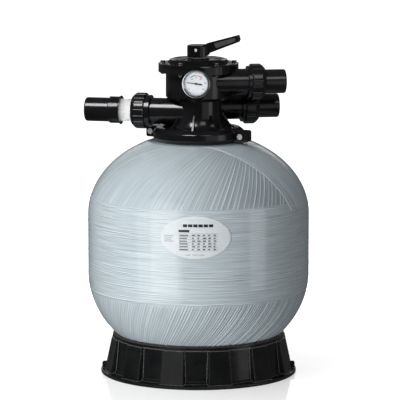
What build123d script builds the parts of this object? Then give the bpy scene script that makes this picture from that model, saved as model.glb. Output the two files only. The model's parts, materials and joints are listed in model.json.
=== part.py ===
from build123d import *
import os
from math import asin, atan2, cos, degrees, radians, sin, sqrt

# A top-mount swimming-pool sand filter, in millimetres.
# The origin is on the floor, on the tank's axis. +Z is up, -Y is the front (gauge side), +X the right.

# Tank: a filament-wound vessel, two half-ellipsoid domes on a short cylinder
TANK_R = 263.5
TANK_WALL = 6.0
LOWER_TANGENT_Z = 243.0
UPPER_TANGENT_Z = 384.0
LOWER_DOME_H = 220.0
UPPER_DOME_H = 195.4
POLE_ANGLE = 86.0  # the lower dome ends in a small flat, where the winding starts
SHOULDER_Z = 558.7
NECK_BORE_R = 76.2
NECK_R = 84.0
PARTING_Z = 576.3

# Neck joint: both flanges have the same tapered rim, held by a V-section clamp
FLANGE_R = 98.0
FLANGE_RIM_H = 7.3
FLANGE_TAPER_H = 5.5
NECK_ORING_R = 86.0
CLAMP_R = 109.0
CLAMP_HALF_H = 15.8
CLAMP_ANGLE = -28.0
CLAMP_GAP = 3.0
CLAMP_INNER_R = 86.0
GROOVE_R = 80.0
LUG_CENTRE_R = 118.0
LUG_WIDTH = 32.0
LUG_HEIGHT = 27.0
LUG_THICK = 14.0
LUG_BOLT_R = 121.0

# Base ring
BASE_FOOT_R = 235.0
BASE_FOOT_H = 7.0
BASE_WALL = 5.0
BASE_WALL_R_LOW = 212.0
BASE_WALL_R_HIGH = 203.5
BASE_RIM_Z = 86.0
BASE_TOP_Z = 97.0
BLOCK_COUNT = 12
BLOCK_START = -76.5
EAR_R = 11.5

# Rating label: an oval skin on the tank's front
LABEL_X = -6.0
LABEL_Z = 366.0
LABEL_HALF_W = 82.0
LABEL_HALF_H = 50.0
LABEL_GAP = 0.2
LABEL_OUTER = 0.7

# Selector valve body
VALVE_NECK_R = 57.5
BOWL_BOTTOM_Z = 659.0
BOWL_R = 78.0
BOWL_BORE_R = 70.0
SEAT_Z = 672.0
SEAT_THICK = 10.0
CHAMBER_R = 50.0
COLUMN_R = 30.0
BODY_FLANGE_Z = 724.5
LID_PARTING_Z = 735.0
LID_FLANGE_TOP_Z = 745.8
LID_TOP_Z = 757.7
LOBE_R = 10.5
LID_BOLT_R = 85.0
LID_BOLT_SHANK_R = 3.0
LID_BOLT_HOLE_R = 3.3
LID_BOLT_AF = 10.0
LID_BOLT_COUNT = 6
RIM_R = 95.0
LID_CEILING_Z = 749.0
CHAMBER_FLOOR_Z = 594.0
COLUMN_BORE_R = 25.2
COLUMN_STOP_Z = 602.0
SPIGOT_R = 75.8
SPIGOT_Z = 562.0
GUSSET_STEP = 40
WEB_THICK = 4.0
WEB_ANGLES = (20, 100, 150, 240)

# Windows through the rotor's seat: start and size in degrees, on one circle
WINDOW_R = 40.0
WINDOW_W = 15.0
WINDOWS = ((42, 36), (180, 40), (113, 24), (265, 80))

# Pipe ports: direction in degrees from +X, height, and sideways offset of the axis from the tank's axis
RIGHT_PORT_ANGLE = 10.0
LEFT_PORT_ANGLE = 167.0
PUMP_Z = 702.0
RETURN_Z = 635.0
WASTE_Z = 630.0
RIGHT_OFFSET = 41.0
LEFT_OFFSET = -22.0
PORT_R = 31.5
PORT_BORE_R = 24.0
THREAD_R = 37.5
FACE_L = 137.0
FACE_GROOVE_R = 30.0
TAIL_R = 28.75
TAIL_FLANGE_R = 35.5
TAIL_FLANGE_THICK = 6.0
RIGHT_TAIL_END = 201.0
LEFT_TAIL_START = 184.0
LEFT_TAIL_END = 270.0
TAIL_COLLAR_R = 31.0
TAIL_LIP_R = 34.5
GLASS_R = 27.0
GLASS_BORE_R = 23.5
GLASS_END = 196.0
SOCKET_R = 24.2
SOCKET_DEPTH = 35.0
TAIL_BORE_R = 21.5
NUT_R = 43.0
NUT_FLUTES = 18
NUT_LENGTH = 33.0
RIGHT_NUT_START = 117.5
WASTE_NUT_START = 121.5

# One port's outside, from its root outwards: tube, neck, collar and the thread for the union nut
PORT_STEPS = ((0, 105, PORT_R), (104, 8, PORT_R - 2), (110, 6, THREAD_R + 0.5), (115, 22, THREAD_R))

# Handle, stem and diverter
HANDLE_ANGLE = -16.0
STEM_R = 12.0
STEM_FIT = 0.08
TONGUE_W = 15.0
TONGUE_HALF_L = 8.0
PIN_Z = 777.0
PIN_R = 4.0
PIN_FIT = 0.06
HUB_R = 27.0
HUB_BOTTOM_Z = 759.6
HUB_TOP_Z = 787.8
LEVER_W = 24.0
GRIP_DEPTH = 3.5
STEM_SHOULDER_Z = 753.0
STEM_BORE_R = STEM_R + STEM_FIT
STEM_ORING_ZS = (737, 745)
ROTOR_R = 67.0
ROTOR_Z = 674.2
DIVERTER_R = 40.0
SPRING_R = 25.5
SPRING_WIRE_R = 1.6
SPRING_TURNS = 5

# Pressure gauge
GAUGE_Z = 706.0
GAUGE_TURN = 3.0
GAUGE_BACK = 97.3
GAUGE_FRONT = 113.0
BEZEL_R = 33.5
WINDOW_OPENING_R = 28.3
GAUGE_CASE_R = 31.6
CASE_WALL = 1.6
DIAL_R = GAUGE_CASE_R - CASE_WALL - 0.2
DIAL_L = 104.0
NEEDLE_L = 106.0
LENS_L = 108.2
NEEDLE_ANGLE = 172.0

# Underdrain and drain
PIPE_R = 25.0
LATERAL_Z = 95.0
LATERAL_R = 11.0
LATERAL_COUNT = 8
LATERAL_END = 166.0
HUB_SOCKET_Z = 108.0
LATERAL_HUB_R = 42.0
LATERAL_HUB_Z = 74.0
DIFFUSER_Z = 534.0
DIFFUSER_R = 62.0
DRAIN_Z = 150.0
DRAIN_BORE_R = 14.3

STANDARD_BOLT_R = 4.0
BOLT_HOLE_R = 4.3
HEX_AF = 13.0


def keep(builder, node):
    """Label a finished piece and write it as its own node."""
    builder.part.label = node
    export_step(builder.part, f"parts/{node}.step")


def tank_outline(semi_axis, wall, neck_r, shoulder_z, top_z):
    """Right half of the vessel's section, offset inwards by wall."""
    low_h = LOWER_DOME_H - wall
    high_h = UPPER_DOME_H - wall
    shoulder = degrees(asin((shoulder_z - UPPER_TANGENT_Z) / high_h))
    low = EllipticalCenterArc((0, LOWER_TANGENT_Z), semi_axis, low_h, -POLE_ANGLE, arc_size=POLE_ANGLE)
    Line(low @ 1, (semi_axis, UPPER_TANGENT_Z))
    high = EllipticalCenterArc((0, UPPER_TANGENT_Z), semi_axis, high_h, 0, arc_size=shoulder)
    pole_z = (low @ 0).Y
    Polyline(high @ 1, (neck_r, shoulder_z), (neck_r, top_z), (0, top_z), (0, pole_z), low @ 0)


def port_plane(angle, height, offset):
    """Plane whose normal runs outwards along a port, its origin beside the tank's axis."""
    a = radians(angle)
    foot = (offset * sin(a), -offset * cos(a), height)
    return Plane(origin=foot, x_dir=(0, 0, 1), z_dir=(cos(a), sin(a), 0))


pump_plane = port_plane(RIGHT_PORT_ANGLE, PUMP_Z, RIGHT_OFFSET)
return_plane = port_plane(RIGHT_PORT_ANGLE, RETURN_Z, -RIGHT_OFFSET)
waste_plane = port_plane(LEFT_PORT_ANGLE, WASTE_Z, LEFT_OFFSET)

turn = radians(GAUGE_TURN)
gauge_plane = Plane(
    origin=(0, 0, GAUGE_Z), x_dir=(cos(turn), -sin(turn), 0), z_dir=(-sin(turn), -cos(turn), 0)
)

lever = radians(HANDLE_ANGLE)
lever_plane = Plane(
    origin=(0, 0, 0), x_dir=(cos(lever), sin(lever), 0), z_dir=(sin(lever), -cos(lever), 0)
)

split_angle = radians(CLAMP_ANGLE)
split_plane = Plane(
    origin=(0, 0, PARTING_Z),
    x_dir=(cos(split_angle), sin(split_angle), 0),
    z_dir=(sin(split_angle), -cos(split_angle), 0),
)

os.makedirs("parts", exist_ok=True)

# ---------------------------------------------------------------- tank

drain_r = TANK_R * sqrt(1 - ((LOWER_TANGENT_Z - DRAIN_Z) / LOWER_DOME_H) ** 2)
drain_tilt = atan2((DRAIN_Z - LOWER_TANGENT_Z) / LOWER_DOME_H**2, drain_r / TANK_R**2)
drain_plane = Plane(
    origin=(0, drain_r, DRAIN_Z), x_dir=(1, 0, 0), z_dir=(0, cos(drain_tilt), sin(drain_tilt))
)

with BuildPart() as tank_shell:
    with BuildSketch(Plane.XZ):
        with BuildLine():
            tank_outline(TANK_R, 0, NECK_R, SHOULDER_Z, PARTING_Z)
        make_face()
        with BuildLine():
            Polyline(
                (NECK_R, PARTING_Z - FLANGE_RIM_H - FLANGE_TAPER_H),
                (FLANGE_R, PARTING_Z - FLANGE_RIM_H),
                (FLANGE_R, PARTING_Z),
                (NECK_R - 2, PARTING_Z),
                (NECK_R - 2, PARTING_Z - FLANGE_RIM_H - FLANGE_TAPER_H),
                close=True,
            )
        make_face()
    revolve(axis=Axis.Z)
    with BuildSketch(Plane.XZ):
        with BuildLine():
            tank_outline(TANK_R - TANK_WALL, TANK_WALL, NECK_BORE_R, SHOULDER_Z - 7.7, PARTING_Z)
        make_face()
    revolve(axis=Axis.Z, mode=Mode.SUBTRACT)
    with BuildSketch(Plane.XY.offset(PARTING_Z)):
        Circle(NECK_ORING_R + 2.2)
        Circle(NECK_ORING_R - 2.2, mode=Mode.SUBTRACT)
    extrude(amount=-4.4, mode=Mode.SUBTRACT)
    with BuildSketch(drain_plane.offset(-25)):
        Circle(DRAIN_BORE_R)
    extrude(amount=50, mode=Mode.SUBTRACT)
keep(tank_shell, "tank_shell")

with BuildPart() as neck_oring:
    with BuildSketch(Plane.XZ):
        with Locations((NECK_ORING_R, PARTING_Z - 2.2)):
            Circle(2.15)
    revolve(axis=Axis.Z)
keep(neck_oring, "neck_oring")

# The rating label follows the tank's curve: a thin skin cut to an oval
with BuildPart() as tank_label:
    with BuildSketch(Plane.XZ):
        with BuildLine():
            centre = (0, UPPER_TANGENT_Z)
            outer_r = TANK_R + LABEL_OUTER
            inner_r = TANK_R + LABEL_GAP
            outer = EllipticalCenterArc(centre, outer_r, UPPER_DOME_H + LABEL_OUTER, 0, arc_size=25)
            inner = EllipticalCenterArc(centre, inner_r, UPPER_DOME_H + LABEL_GAP, 0, arc_size=25)
            Line(outer @ 1, inner @ 1)
            label_foot_z = LABEL_Z - LABEL_HALF_H - 10
            Polyline(outer @ 0, (outer_r, label_foot_z), (inner_r, label_foot_z), inner @ 0)
        make_face()
    revolve(axis=Axis.Z)
    with BuildSketch(Plane.XZ.offset(TANK_R - 60)):
        with Locations((LABEL_X, LABEL_Z)):
            Ellipse(LABEL_HALF_W, LABEL_HALF_H)
    extrude(amount=80, mode=Mode.INTERSECT)
keep(tank_label, "tank_label")

# ---------------------------------------------------------------- base ring

with BuildPart() as block:
    with BuildSketch(Plane.XY.offset(BASE_FOOT_H - 2)):
        with BuildLine():
            Polyline((208, -31), (225.5, -28.5), (225.5, 28.5), (208, 31), close=True)
        make_face()
    with BuildSketch(Plane.XY.offset(BASE_RIM_Z + 1)):
        with BuildLine():
            Polyline((200, -26.5), (208.5, -25), (208.5, 25), (200, 26.5), close=True)
        make_face()
    loft()
    upright = block.edges().filter_by(lambda e: e.length > 60)
    fillet(upright.sort_by(Axis.X)[-2:], 2.0)

with BuildPart() as base_ring:
    with BuildSketch(Plane.XZ):
        with BuildLine():
            Polyline(
                (BASE_WALL_R_LOW - BASE_WALL - 4, 0),
                (BASE_FOOT_R, 0),
                (BASE_FOOT_R, BASE_FOOT_H),
                (BASE_WALL_R_LOW + 3, BASE_FOOT_H + 2),
                (BASE_WALL_R_LOW - 0.8, BASE_FOOT_H + 8),
                (BASE_WALL_R_HIGH, BASE_RIM_Z),
                (BASE_WALL_R_HIGH + 2.5, BASE_RIM_Z + 1.5),
                (BASE_WALL_R_HIGH + 2.0, BASE_TOP_Z - 2),
                (BASE_WALL_R_HIGH, BASE_TOP_Z),
                (BASE_WALL_R_HIGH - 5.0, BASE_TOP_Z),
                (BASE_WALL_R_HIGH - 7.5, BASE_TOP_Z - 3),
                (BASE_WALL_R_HIGH - 7.5, BASE_RIM_Z - 4),
                (BASE_WALL_R_LOW - BASE_WALL, BASE_FOOT_H + 4),
                close=True,
            )
        make_face()
        fillet(vertices().group_by(Axis.X)[-1], 3.0)
    revolve(axis=Axis.Z)
    with PolarLocations(0, BLOCK_COUNT, start_angle=BLOCK_START - 90):
        add(block.part)
    for side in (0, 180):
        with Locations(Location((0, 0, 0), (0, 0, side))):
            with Locations(Location((BASE_FOOT_R - 29, 0, EAR_R), (0, 90, 0))):
                Cylinder(EAR_R, 26, align=(Align.CENTER, Align.CENTER, Align.MIN))
    ear_edges = base_ring.edges().filter_by(GeomType.CIRCLE)
    ear_edges = ear_edges.filter_by(lambda e: abs(e.radius - EAR_R) < 0.01 and abs(e.center().X) > 228)
    fillet(ear_edges, 5.0)
keep(base_ring, "base_ring")

# ---------------------------------------------------------------- neck clamp

GROOVE_DEEP_H = FLANGE_RIM_H + 0.5 + (FLANGE_R - GROOVE_R) * FLANGE_TAPER_H / (FLANGE_R - NECK_R)


def clamp_half(keep_side):
    """One half of the V-section clamp, with a lug at each end; returned for its own node."""
    with BuildPart() as half:
        with BuildSketch(Plane.XZ):
            with BuildLine():
                Polyline(
                    (CLAMP_INNER_R, PARTING_Z - CLAMP_HALF_H),
                    (CLAMP_R - 10, PARTING_Z - CLAMP_HALF_H),
                    (CLAMP_R, PARTING_Z - CLAMP_HALF_H / 2),
                    (CLAMP_R, PARTING_Z + CLAMP_HALF_H / 2),
                    (CLAMP_R - 10, PARTING_Z + CLAMP_HALF_H),
                    (CLAMP_INNER_R, PARTING_Z + CLAMP_HALF_H),
                    close=True,
                )
            make_face()
            fillet(vertices().group_by(Axis.X)[-1], 5.0)
            fillet(vertices().group_by(Axis.X)[1], 4.0)
        revolve(axis=Axis.Z)
        with BuildSketch(split_plane.offset(-LUG_THICK - CLAMP_GAP / 2)):
            with Locations((LUG_CENTRE_R, 0), (-LUG_CENTRE_R, 0)):
                RectangleRounded(LUG_WIDTH, LUG_HEIGHT, 5)
        extrude(amount=2 * LUG_THICK + CLAMP_GAP)
        with BuildSketch(Plane.XZ):
            with BuildLine():
                Polyline(
                    (GROOVE_R, PARTING_Z - GROOVE_DEEP_H),
                    (FLANGE_R + 0.3, PARTING_Z - FLANGE_RIM_H - 0.3),
                    (FLANGE_R + 0.3, PARTING_Z + FLANGE_RIM_H + 0.3),
                    (GROOVE_R, PARTING_Z + GROOVE_DEEP_H),
                    close=True,
                )
            make_face()
        revolve(axis=Axis.Z, mode=Mode.SUBTRACT)
        with BuildSketch(split_plane.offset(-40)):
            with Locations((LUG_BOLT_R, 0), (-LUG_BOLT_R, 0)):
                Circle(BOLT_HOLE_R)
        extrude(amount=80, mode=Mode.SUBTRACT)
        gap = CLAMP_GAP / 2 if keep_side == Keep.TOP else -CLAMP_GAP / 2
        split(bisect_by=split_plane.offset(gap), keep=keep_side)
    return half


clamp_front = clamp_half(Keep.TOP)
keep(clamp_front, "clamp_half_front")
clamp_rear = clamp_half(Keep.BOTTOM)
keep(clamp_rear, "clamp_half_rear")

lug_face = LUG_THICK + CLAMP_GAP / 2
with BuildPart() as clamp_bolts:
    with BuildSketch(split_plane.offset(lug_face)):
        with Locations((LUG_BOLT_R, 0), (-LUG_BOLT_R, 0)):
            RegularPolygon(HEX_AF / 2, 6, major_radius=False)
    extrude(amount=5.3)
    with BuildSketch(split_plane.offset(-lug_face - 11)):
        with Locations((LUG_BOLT_R, 0), (-LUG_BOLT_R, 0)):
            Circle(STANDARD_BOLT_R)
    extrude(amount=2 * lug_face + 11.5)
keep(clamp_bolts, "clamp_bolts")

with BuildPart() as clamp_nuts:
    with BuildSketch(split_plane.offset(-lug_face)):
        with Locations((LUG_BOLT_R, 0), (-LUG_BOLT_R, 0)):
            RegularPolygon(HEX_AF / 2, 6, major_radius=False)
            Circle(STANDARD_BOLT_R, mode=Mode.SUBTRACT)
    extrude(amount=-6.5)
keep(clamp_nuts, "clamp_nuts")

# ---------------------------------------------------------------- valve body

with BuildPart() as valve_body:
    with BuildSketch(Plane.XZ):
        with BuildLine():
            Polyline(
                (0, SPIGOT_Z),
                (SPIGOT_R, SPIGOT_Z),
                (SPIGOT_R, PARTING_Z),
                (FLANGE_R, PARTING_Z),
                (FLANGE_R, PARTING_Z + FLANGE_RIM_H),
                (NECK_R, PARTING_Z + FLANGE_RIM_H + FLANGE_TAPER_H),
                (78, PARTING_Z + FLANGE_RIM_H + FLANGE_TAPER_H + 1),
            )
            Spline(
                (78, PARTING_Z + FLANGE_RIM_H + FLANGE_TAPER_H + 1),
                (62, 606),
                (VALVE_NECK_R, 632),
                tangents=[(-1, 0.35), (0, 1)],
            )
            Polyline(
                (VALVE_NECK_R, 632),
                (VALVE_NECK_R, BOWL_BOTTOM_Z - 3),
                (72, BOWL_BOTTOM_Z),
                (BOWL_R, BOWL_BOTTOM_Z + 7),
                (BOWL_R, BODY_FLANGE_Z),
                (RIM_R, BODY_FLANGE_Z),
                (RIM_R, LID_PARTING_Z),
                (0, LID_PARTING_Z),
                (0, SPIGOT_Z),
            )
        make_face()
    revolve(axis=Axis.Z)
    with BuildSketch(Plane.XY.offset(BODY_FLANGE_Z)):
        with PolarLocations(LID_BOLT_R, LID_BOLT_COUNT):
            Circle(LOBE_R)
    extrude(amount=LID_PARTING_Z - BODY_FLANGE_Z)
    for angle in range(20, 380, GUSSET_STEP):
        with BuildSketch(Plane.XZ.rotated((0, 0, angle)).offset(-WEB_THICK / 2)):
            with BuildLine():
                Polyline((50, 585), (86, 585), (86, 588.5), (60.5, 625), (50, 625), close=True)
            make_face()
        extrude(amount=WEB_THICK)
    for plane in (pump_plane, return_plane, waste_plane):
        for start, length, radius in PORT_STEPS:
            with BuildSketch(plane.offset(start)):
                Circle(radius)
            extrude(amount=length)
    with Locations(pump_plane.location, return_plane.location, waste_plane.location):
        Sphere(PORT_R)
    with BuildSketch(gauge_plane.offset(60)):
        Circle(13)
    extrude(amount=24)
    # the inside: rotor bowl, neck chamber and spigot bore
    with BuildSketch(Plane.XY.offset(SEAT_Z)):
        Circle(BOWL_BORE_R)
    extrude(amount=LID_PARTING_Z - SEAT_Z, mode=Mode.SUBTRACT)
    with BuildSketch(Plane.XY.offset(CHAMBER_FLOOR_Z + 4)):
        Circle(CHAMBER_R)
        Circle(COLUMN_R, mode=Mode.SUBTRACT)
        for angle in WEB_ANGLES:
            with Locations(Location((0, 0, 0), (0, 0, angle))):
                Rectangle(60, WEB_THICK, align=(Align.MIN, Align.CENTER), mode=Mode.SUBTRACT)
    extrude(amount=SEAT_Z - SEAT_THICK - CHAMBER_FLOOR_Z - 4, mode=Mode.SUBTRACT)
    with BuildSketch(Plane.XZ):
        with BuildLine():
            Polyline(
                (COLUMN_R, SPIGOT_Z),
                (70, SPIGOT_Z),
                (68, 586),
                (54, CHAMBER_FLOOR_Z),
                (COLUMN_R, CHAMBER_FLOOR_Z),
                close=True,
            )
        make_face()
    revolve(axis=Axis.Z, mode=Mode.SUBTRACT)
    with BuildSketch(Plane.XY.offset(SPIGOT_Z)):
        Circle(COLUMN_BORE_R)
    extrude(amount=COLUMN_STOP_Z - SPIGOT_Z, mode=Mode.SUBTRACT)
    with BuildSketch(Plane.XY.offset(COLUMN_STOP_Z)):
        Circle(COLUMN_BORE_R - 3)
    extrude(amount=SEAT_Z - SEAT_THICK - COLUMN_STOP_Z, mode=Mode.SUBTRACT)
    # windows through the seat, one into each chamber, and the way down to the top of the tank
    with BuildSketch(Plane.XY.offset(SEAT_Z - SEAT_THICK)):
        for start, size in WINDOWS:
            SlotArc(CenterArc((0, 0), WINDOW_R, start, size), WINDOW_W)
    extrude(amount=SEAT_THICK, mode=Mode.SUBTRACT)
    with BuildSketch(Plane.XY.offset(CHAMBER_FLOOR_Z)):
        SlotArc(CenterArc((0, 0), WINDOW_R, 262, 92), WINDOW_W)
    extrude(amount=4, mode=Mode.SUBTRACT)
    with BuildSketch(Plane.YZ.rotated((0, 0, 125)).offset(15)):
        with Locations((0, 640)):
            Rectangle(14, 30)
    extrude(amount=20, mode=Mode.SUBTRACT)
    with BuildSketch(pump_plane.offset(45)):
        Circle(PORT_BORE_R)
    extrude(amount=100, mode=Mode.SUBTRACT)
    for plane in (return_plane, waste_plane):
        with BuildSketch(plane.offset(33)):
            Circle(PORT_BORE_R)
        extrude(amount=110, mode=Mode.SUBTRACT)
    for plane in (pump_plane, return_plane, waste_plane):
        with BuildSketch(plane.offset(FACE_L - 2.6)):
            Circle(FACE_GROOVE_R + 2.1)
            Circle(FACE_GROOVE_R - 2.1, mode=Mode.SUBTRACT)
        extrude(amount=4, mode=Mode.SUBTRACT)
    with BuildSketch(gauge_plane.offset(60)):
        Circle(6.5)
    extrude(amount=30, mode=Mode.SUBTRACT)
    with BuildSketch(Plane.XY.offset(BODY_FLANGE_Z)):
        with PolarLocations(LID_BOLT_R, LID_BOLT_COUNT):
            Circle(LID_BOLT_HOLE_R)
    extrude(amount=20, mode=Mode.SUBTRACT)
    # spot faces for the nuts, which the pump port would otherwise foul
    with BuildSketch(Plane.XY.offset(BODY_FLANGE_Z)):
        with PolarLocations(LID_BOLT_R, LID_BOLT_COUNT):
            Circle(6.6)
    extrude(amount=-7, mode=Mode.SUBTRACT)
keep(valve_body, "valve_body")

# ---------------------------------------------------------------- lid

with BuildPart() as valve_lid:
    with BuildSketch(Plane.XZ):
        with BuildLine():
            Polyline(
                (0, LID_PARTING_Z - 7),
                (BOWL_BORE_R - 0.4, LID_PARTING_Z - 7),
                (BOWL_BORE_R - 0.4, LID_PARTING_Z),
                (RIM_R, LID_PARTING_Z),
                (RIM_R, LID_FLANGE_TOP_Z - 3.5),
                (RIM_R - 1, LID_FLANGE_TOP_Z - 1.2),
                (RIM_R - 3.5, LID_FLANGE_TOP_Z),
                (73, LID_FLANGE_TOP_Z),
                (68, LID_TOP_Z - 3.5),
                (62, LID_TOP_Z - 1.6),
                (32, LID_TOP_Z - 1.2),
                (30.5, LID_TOP_Z),
                (0, LID_TOP_Z),
                close=True,
            )
        make_face()
    revolve(axis=Axis.Z)
    with BuildSketch(Plane.XY.offset(LID_PARTING_Z)):
        with PolarLocations(LID_BOLT_R, LID_BOLT_COUNT):
            Circle(LOBE_R)
    extrude(amount=LID_FLANGE_TOP_Z - LID_PARTING_Z)
    with BuildSketch(Plane.XZ):
        with BuildLine():
            Polyline(
                (STEM_BORE_R + 8, LID_PARTING_Z - 7),
                (BOWL_BORE_R - 5, LID_PARTING_Z - 7),
                (BOWL_BORE_R - 5, 742),
                (60, LID_CEILING_Z),
                (STEM_BORE_R + 8, LID_CEILING_Z),
                close=True,
            )
        make_face()
        with Locations((BOWL_BORE_R - 0.4, LID_PARTING_Z - 3)):
            Rectangle(5.2, 3.4)
        with Locations([(STEM_BORE_R, z) for z in STEM_ORING_ZS]):
            Rectangle(5.2, 3.0)
    revolve(axis=Axis.Z, mode=Mode.SUBTRACT)
    with BuildSketch(Plane.XY.offset(LID_PARTING_Z - 8)):
        Circle(STEM_BORE_R)
        with PolarLocations(LID_BOLT_R, LID_BOLT_COUNT):
            Circle(LID_BOLT_HOLE_R)
    extrude(amount=40, mode=Mode.SUBTRACT)
    # raised position marks round the stem, one for each of the valve's six positions
    with BuildSketch(Plane.XY.offset(LID_TOP_Z - 3)):
        with PolarLocations(48, 6, start_angle=HANDLE_ANGLE):
            SlotOverall(16, 3)
    extrude(amount=2.6)
keep(valve_lid, "valve_lid")

with BuildPart() as lid_oring:
    with BuildSketch(Plane.XZ):
        with Locations((BOWL_BORE_R - 1.55, LID_PARTING_Z - 3)):
            Circle(1.35)
    revolve(axis=Axis.Z)
keep(lid_oring, "lid_oring")

with BuildPart() as stem_orings:
    with BuildSketch(Plane.XZ):
        with Locations([(STEM_R + 1.4, z) for z in STEM_ORING_ZS]):
            Circle(1.1)
    revolve(axis=Axis.Z)
keep(stem_orings, "stem_orings")

with BuildPart() as lid_bolts:
    with BuildSketch(Plane.XY.offset(LID_FLANGE_TOP_Z)):
        with PolarLocations(LID_BOLT_R, LID_BOLT_COUNT):
            Circle(6.5)
    extrude(amount=1.2)
    with BuildSketch(Plane.XY.offset(LID_FLANGE_TOP_Z + 1.2)):
        with PolarLocations(LID_BOLT_R, LID_BOLT_COUNT):
            RegularPolygon(LID_BOLT_AF / 2, 6, major_radius=False)
    extrude(amount=4)
    with BuildSketch(Plane.XY.offset(BODY_FLANGE_Z - 6.3)):
        with PolarLocations(LID_BOLT_R, LID_BOLT_COUNT):
            Circle(LID_BOLT_SHANK_R)
    extrude(amount=LID_FLANGE_TOP_Z - BODY_FLANGE_Z + 7)
keep(lid_bolts, "lid_bolts")

with BuildPart() as lid_nuts:
    with BuildSketch(Plane.XY.offset(BODY_FLANGE_Z)):
        with PolarLocations(LID_BOLT_R, LID_BOLT_COUNT):
            RegularPolygon(LID_BOLT_AF / 2, 6, major_radius=False)
            Circle(LID_BOLT_SHANK_R, mode=Mode.SUBTRACT)
    extrude(amount=-5)
keep(lid_nuts, "lid_nuts")

# ---------------------------------------------------------------- diverter, spring and stem

with BuildPart() as spider_gasket:
    with BuildSketch(Plane.XY.offset(SEAT_Z)):
        Circle(66)
        Circle(61, mode=Mode.SUBTRACT)
        Circle(29)
        Circle(24, mode=Mode.SUBTRACT)
        for angle in WEB_ANGLES:
            with Locations(Location((0, 0, 0), (0, 0, angle))):
                with Locations((44, 0)):
                    Rectangle(38, WEB_THICK)
    extrude(amount=ROTOR_Z - SEAT_Z - 0.2)
keep(spider_gasket, "spider_gasket")

with BuildPart() as diverter_rotor:
    with BuildSketch(Plane.XY.offset(ROTOR_Z)):
        Circle(ROTOR_R)
    extrude(amount=7)
    with BuildSketch(Plane.XY.offset(ROTOR_Z)):
        SlotArc(CenterArc((0, 0), DIVERTER_R, 45, 85), 26)
    extrude(amount=16)
    with BuildSketch(Plane.XY.offset(ROTOR_Z)):
        Circle(20)
    extrude(amount=22)
    with BuildSketch(Plane.XY.offset(ROTOR_Z + 18)):
        Circle(31)
    extrude(amount=4)
    with BuildSketch(Plane.XY.offset(ROTOR_Z)):
        SlotArc(CenterArc((0, 0), DIVERTER_R, 45, 85), 18)
    extrude(amount=12, mode=Mode.SUBTRACT)
    with BuildSketch(Plane.XY.offset(ROTOR_Z)):
        SlotArc(CenterArc((0, 0), DIVERTER_R, 265, 80), WINDOW_W)
    extrude(amount=10, mode=Mode.SUBTRACT)
    with BuildSketch(Plane.XY.offset(ROTOR_Z + 20)):
        Circle(STEM_R)
    extrude(amount=STEM_SHOULDER_Z - ROTOR_Z - 20)
    with BuildSketch(lever_plane.offset(-TONGUE_W / 2)):
        with Locations((0, PIN_Z)):
            Circle(TONGUE_HALF_L)
        with Locations((0, PIN_Z)):
            Rectangle(2 * TONGUE_HALF_L, PIN_Z - STEM_SHOULDER_Z + 3, align=(Align.CENTER, Align.MAX))
    extrude(amount=TONGUE_W)
    with BuildSketch(lever_plane.offset(-TONGUE_W)):
        with Locations((0, PIN_Z)):
            Circle(PIN_R + 0.02)
    extrude(amount=2 * TONGUE_W, mode=Mode.SUBTRACT)
keep(diverter_rotor, "diverter_rotor")

spring_low_z = ROTOR_Z + 22 + SPRING_WIRE_R + 0.1
spring_height = LID_CEILING_Z - SPRING_WIRE_R - 0.1 - spring_low_z
with BuildPart() as rotor_spring:
    with BuildLine() as coil:
        Helix(spring_height / SPRING_TURNS, spring_height, SPRING_R, center=(0, 0, spring_low_z))
    with BuildSketch(Plane(origin=coil.line @ 0, z_dir=coil.line % 0)):
        Circle(SPRING_WIRE_R)
    sweep(path=coil.line, is_frenet=True)
keep(rotor_spring, "rotor_spring")

with BuildPart() as slip_washer:
    with BuildSketch(Plane.XY.offset(LID_TOP_Z + 0.1)):
        Circle(21)
        Circle(STEM_R + 0.5, mode=Mode.SUBTRACT)
    extrude(amount=1.5)
keep(slip_washer, "slip_washer")

with BuildPart() as handle_pin:
    with BuildSketch(lever_plane.offset(-23)):
        with Locations((0, PIN_Z)):
            Circle(PIN_R)
    extrude(amount=46)
keep(handle_pin, "handle_pin")

# ---------------------------------------------------------------- handle

with BuildPart() as handle:
    # the hub: its flat heel is the cam, relieved towards the lever
    with BuildSketch(lever_plane.offset(-HUB_R)):
        with BuildLine():
            Polyline(
                (-24, HUB_BOTTOM_Z),
                (16, HUB_BOTTOM_Z),
                (25, 765),
                (30, 775),
                (30, 790),
                (-30, 790),
                (-30, 765),
                close=True,
            )
        make_face()
    extrude(amount=2 * HUB_R)
    with BuildSketch(Plane.XY.offset(HUB_BOTTOM_Z)):
        Circle(HUB_R)
    extrude(amount=HUB_TOP_Z - HUB_BOTTOM_Z, mode=Mode.INTERSECT)
    fillet(handle.edges().group_by(Axis.Z)[-1], 3.0)
    with BuildSketch(lever_plane.offset(-LEVER_W / 2)):
        with BuildLine():
            Polyline(
                (10, 770),
                (24, 767.5),
                (98, 796.5),
                (101, 802.5),
                (97.5, 813.5),
                (24, 793.2),
                (10, 786),
                close=True,
            )
        make_face()
        fillet(vertices().group_by(Axis.X)[-1], 2.0)
    extrude(amount=LEVER_W)
    # light-faced finger recesses on both sides of the grip
    for side in (-1, 1):
        with BuildSketch(lever_plane.offset(side * LEVER_W / 2)):
            with BuildLine():
                Polyline((45, 780.5), (93, 798.5), (95.5, 803.5), (93, 809), (38, 794), close=True)
            make_face()
        extrude(amount=-side * GRIP_DEPTH, mode=Mode.SUBTRACT)
    # the slot that straddles the stem's tongue, and the pin's bore
    with BuildSketch(Plane.XY.offset(HUB_BOTTOM_Z - 1)):
        with Locations(Location((0, 0, 0), (0, 0, HANDLE_ANGLE))):
            Rectangle(31, TONGUE_W + 0.8)
    extrude(amount=785.6 - HUB_BOTTOM_Z + 1, mode=Mode.SUBTRACT)
    with BuildSketch(lever_plane.offset(-40)):
        with Locations((0, PIN_Z)):
            Circle(PIN_R + PIN_FIT)
    extrude(amount=80, mode=Mode.SUBTRACT)
keep(handle, "handle")

# ---------------------------------------------------------------- pressure gauge

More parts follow.
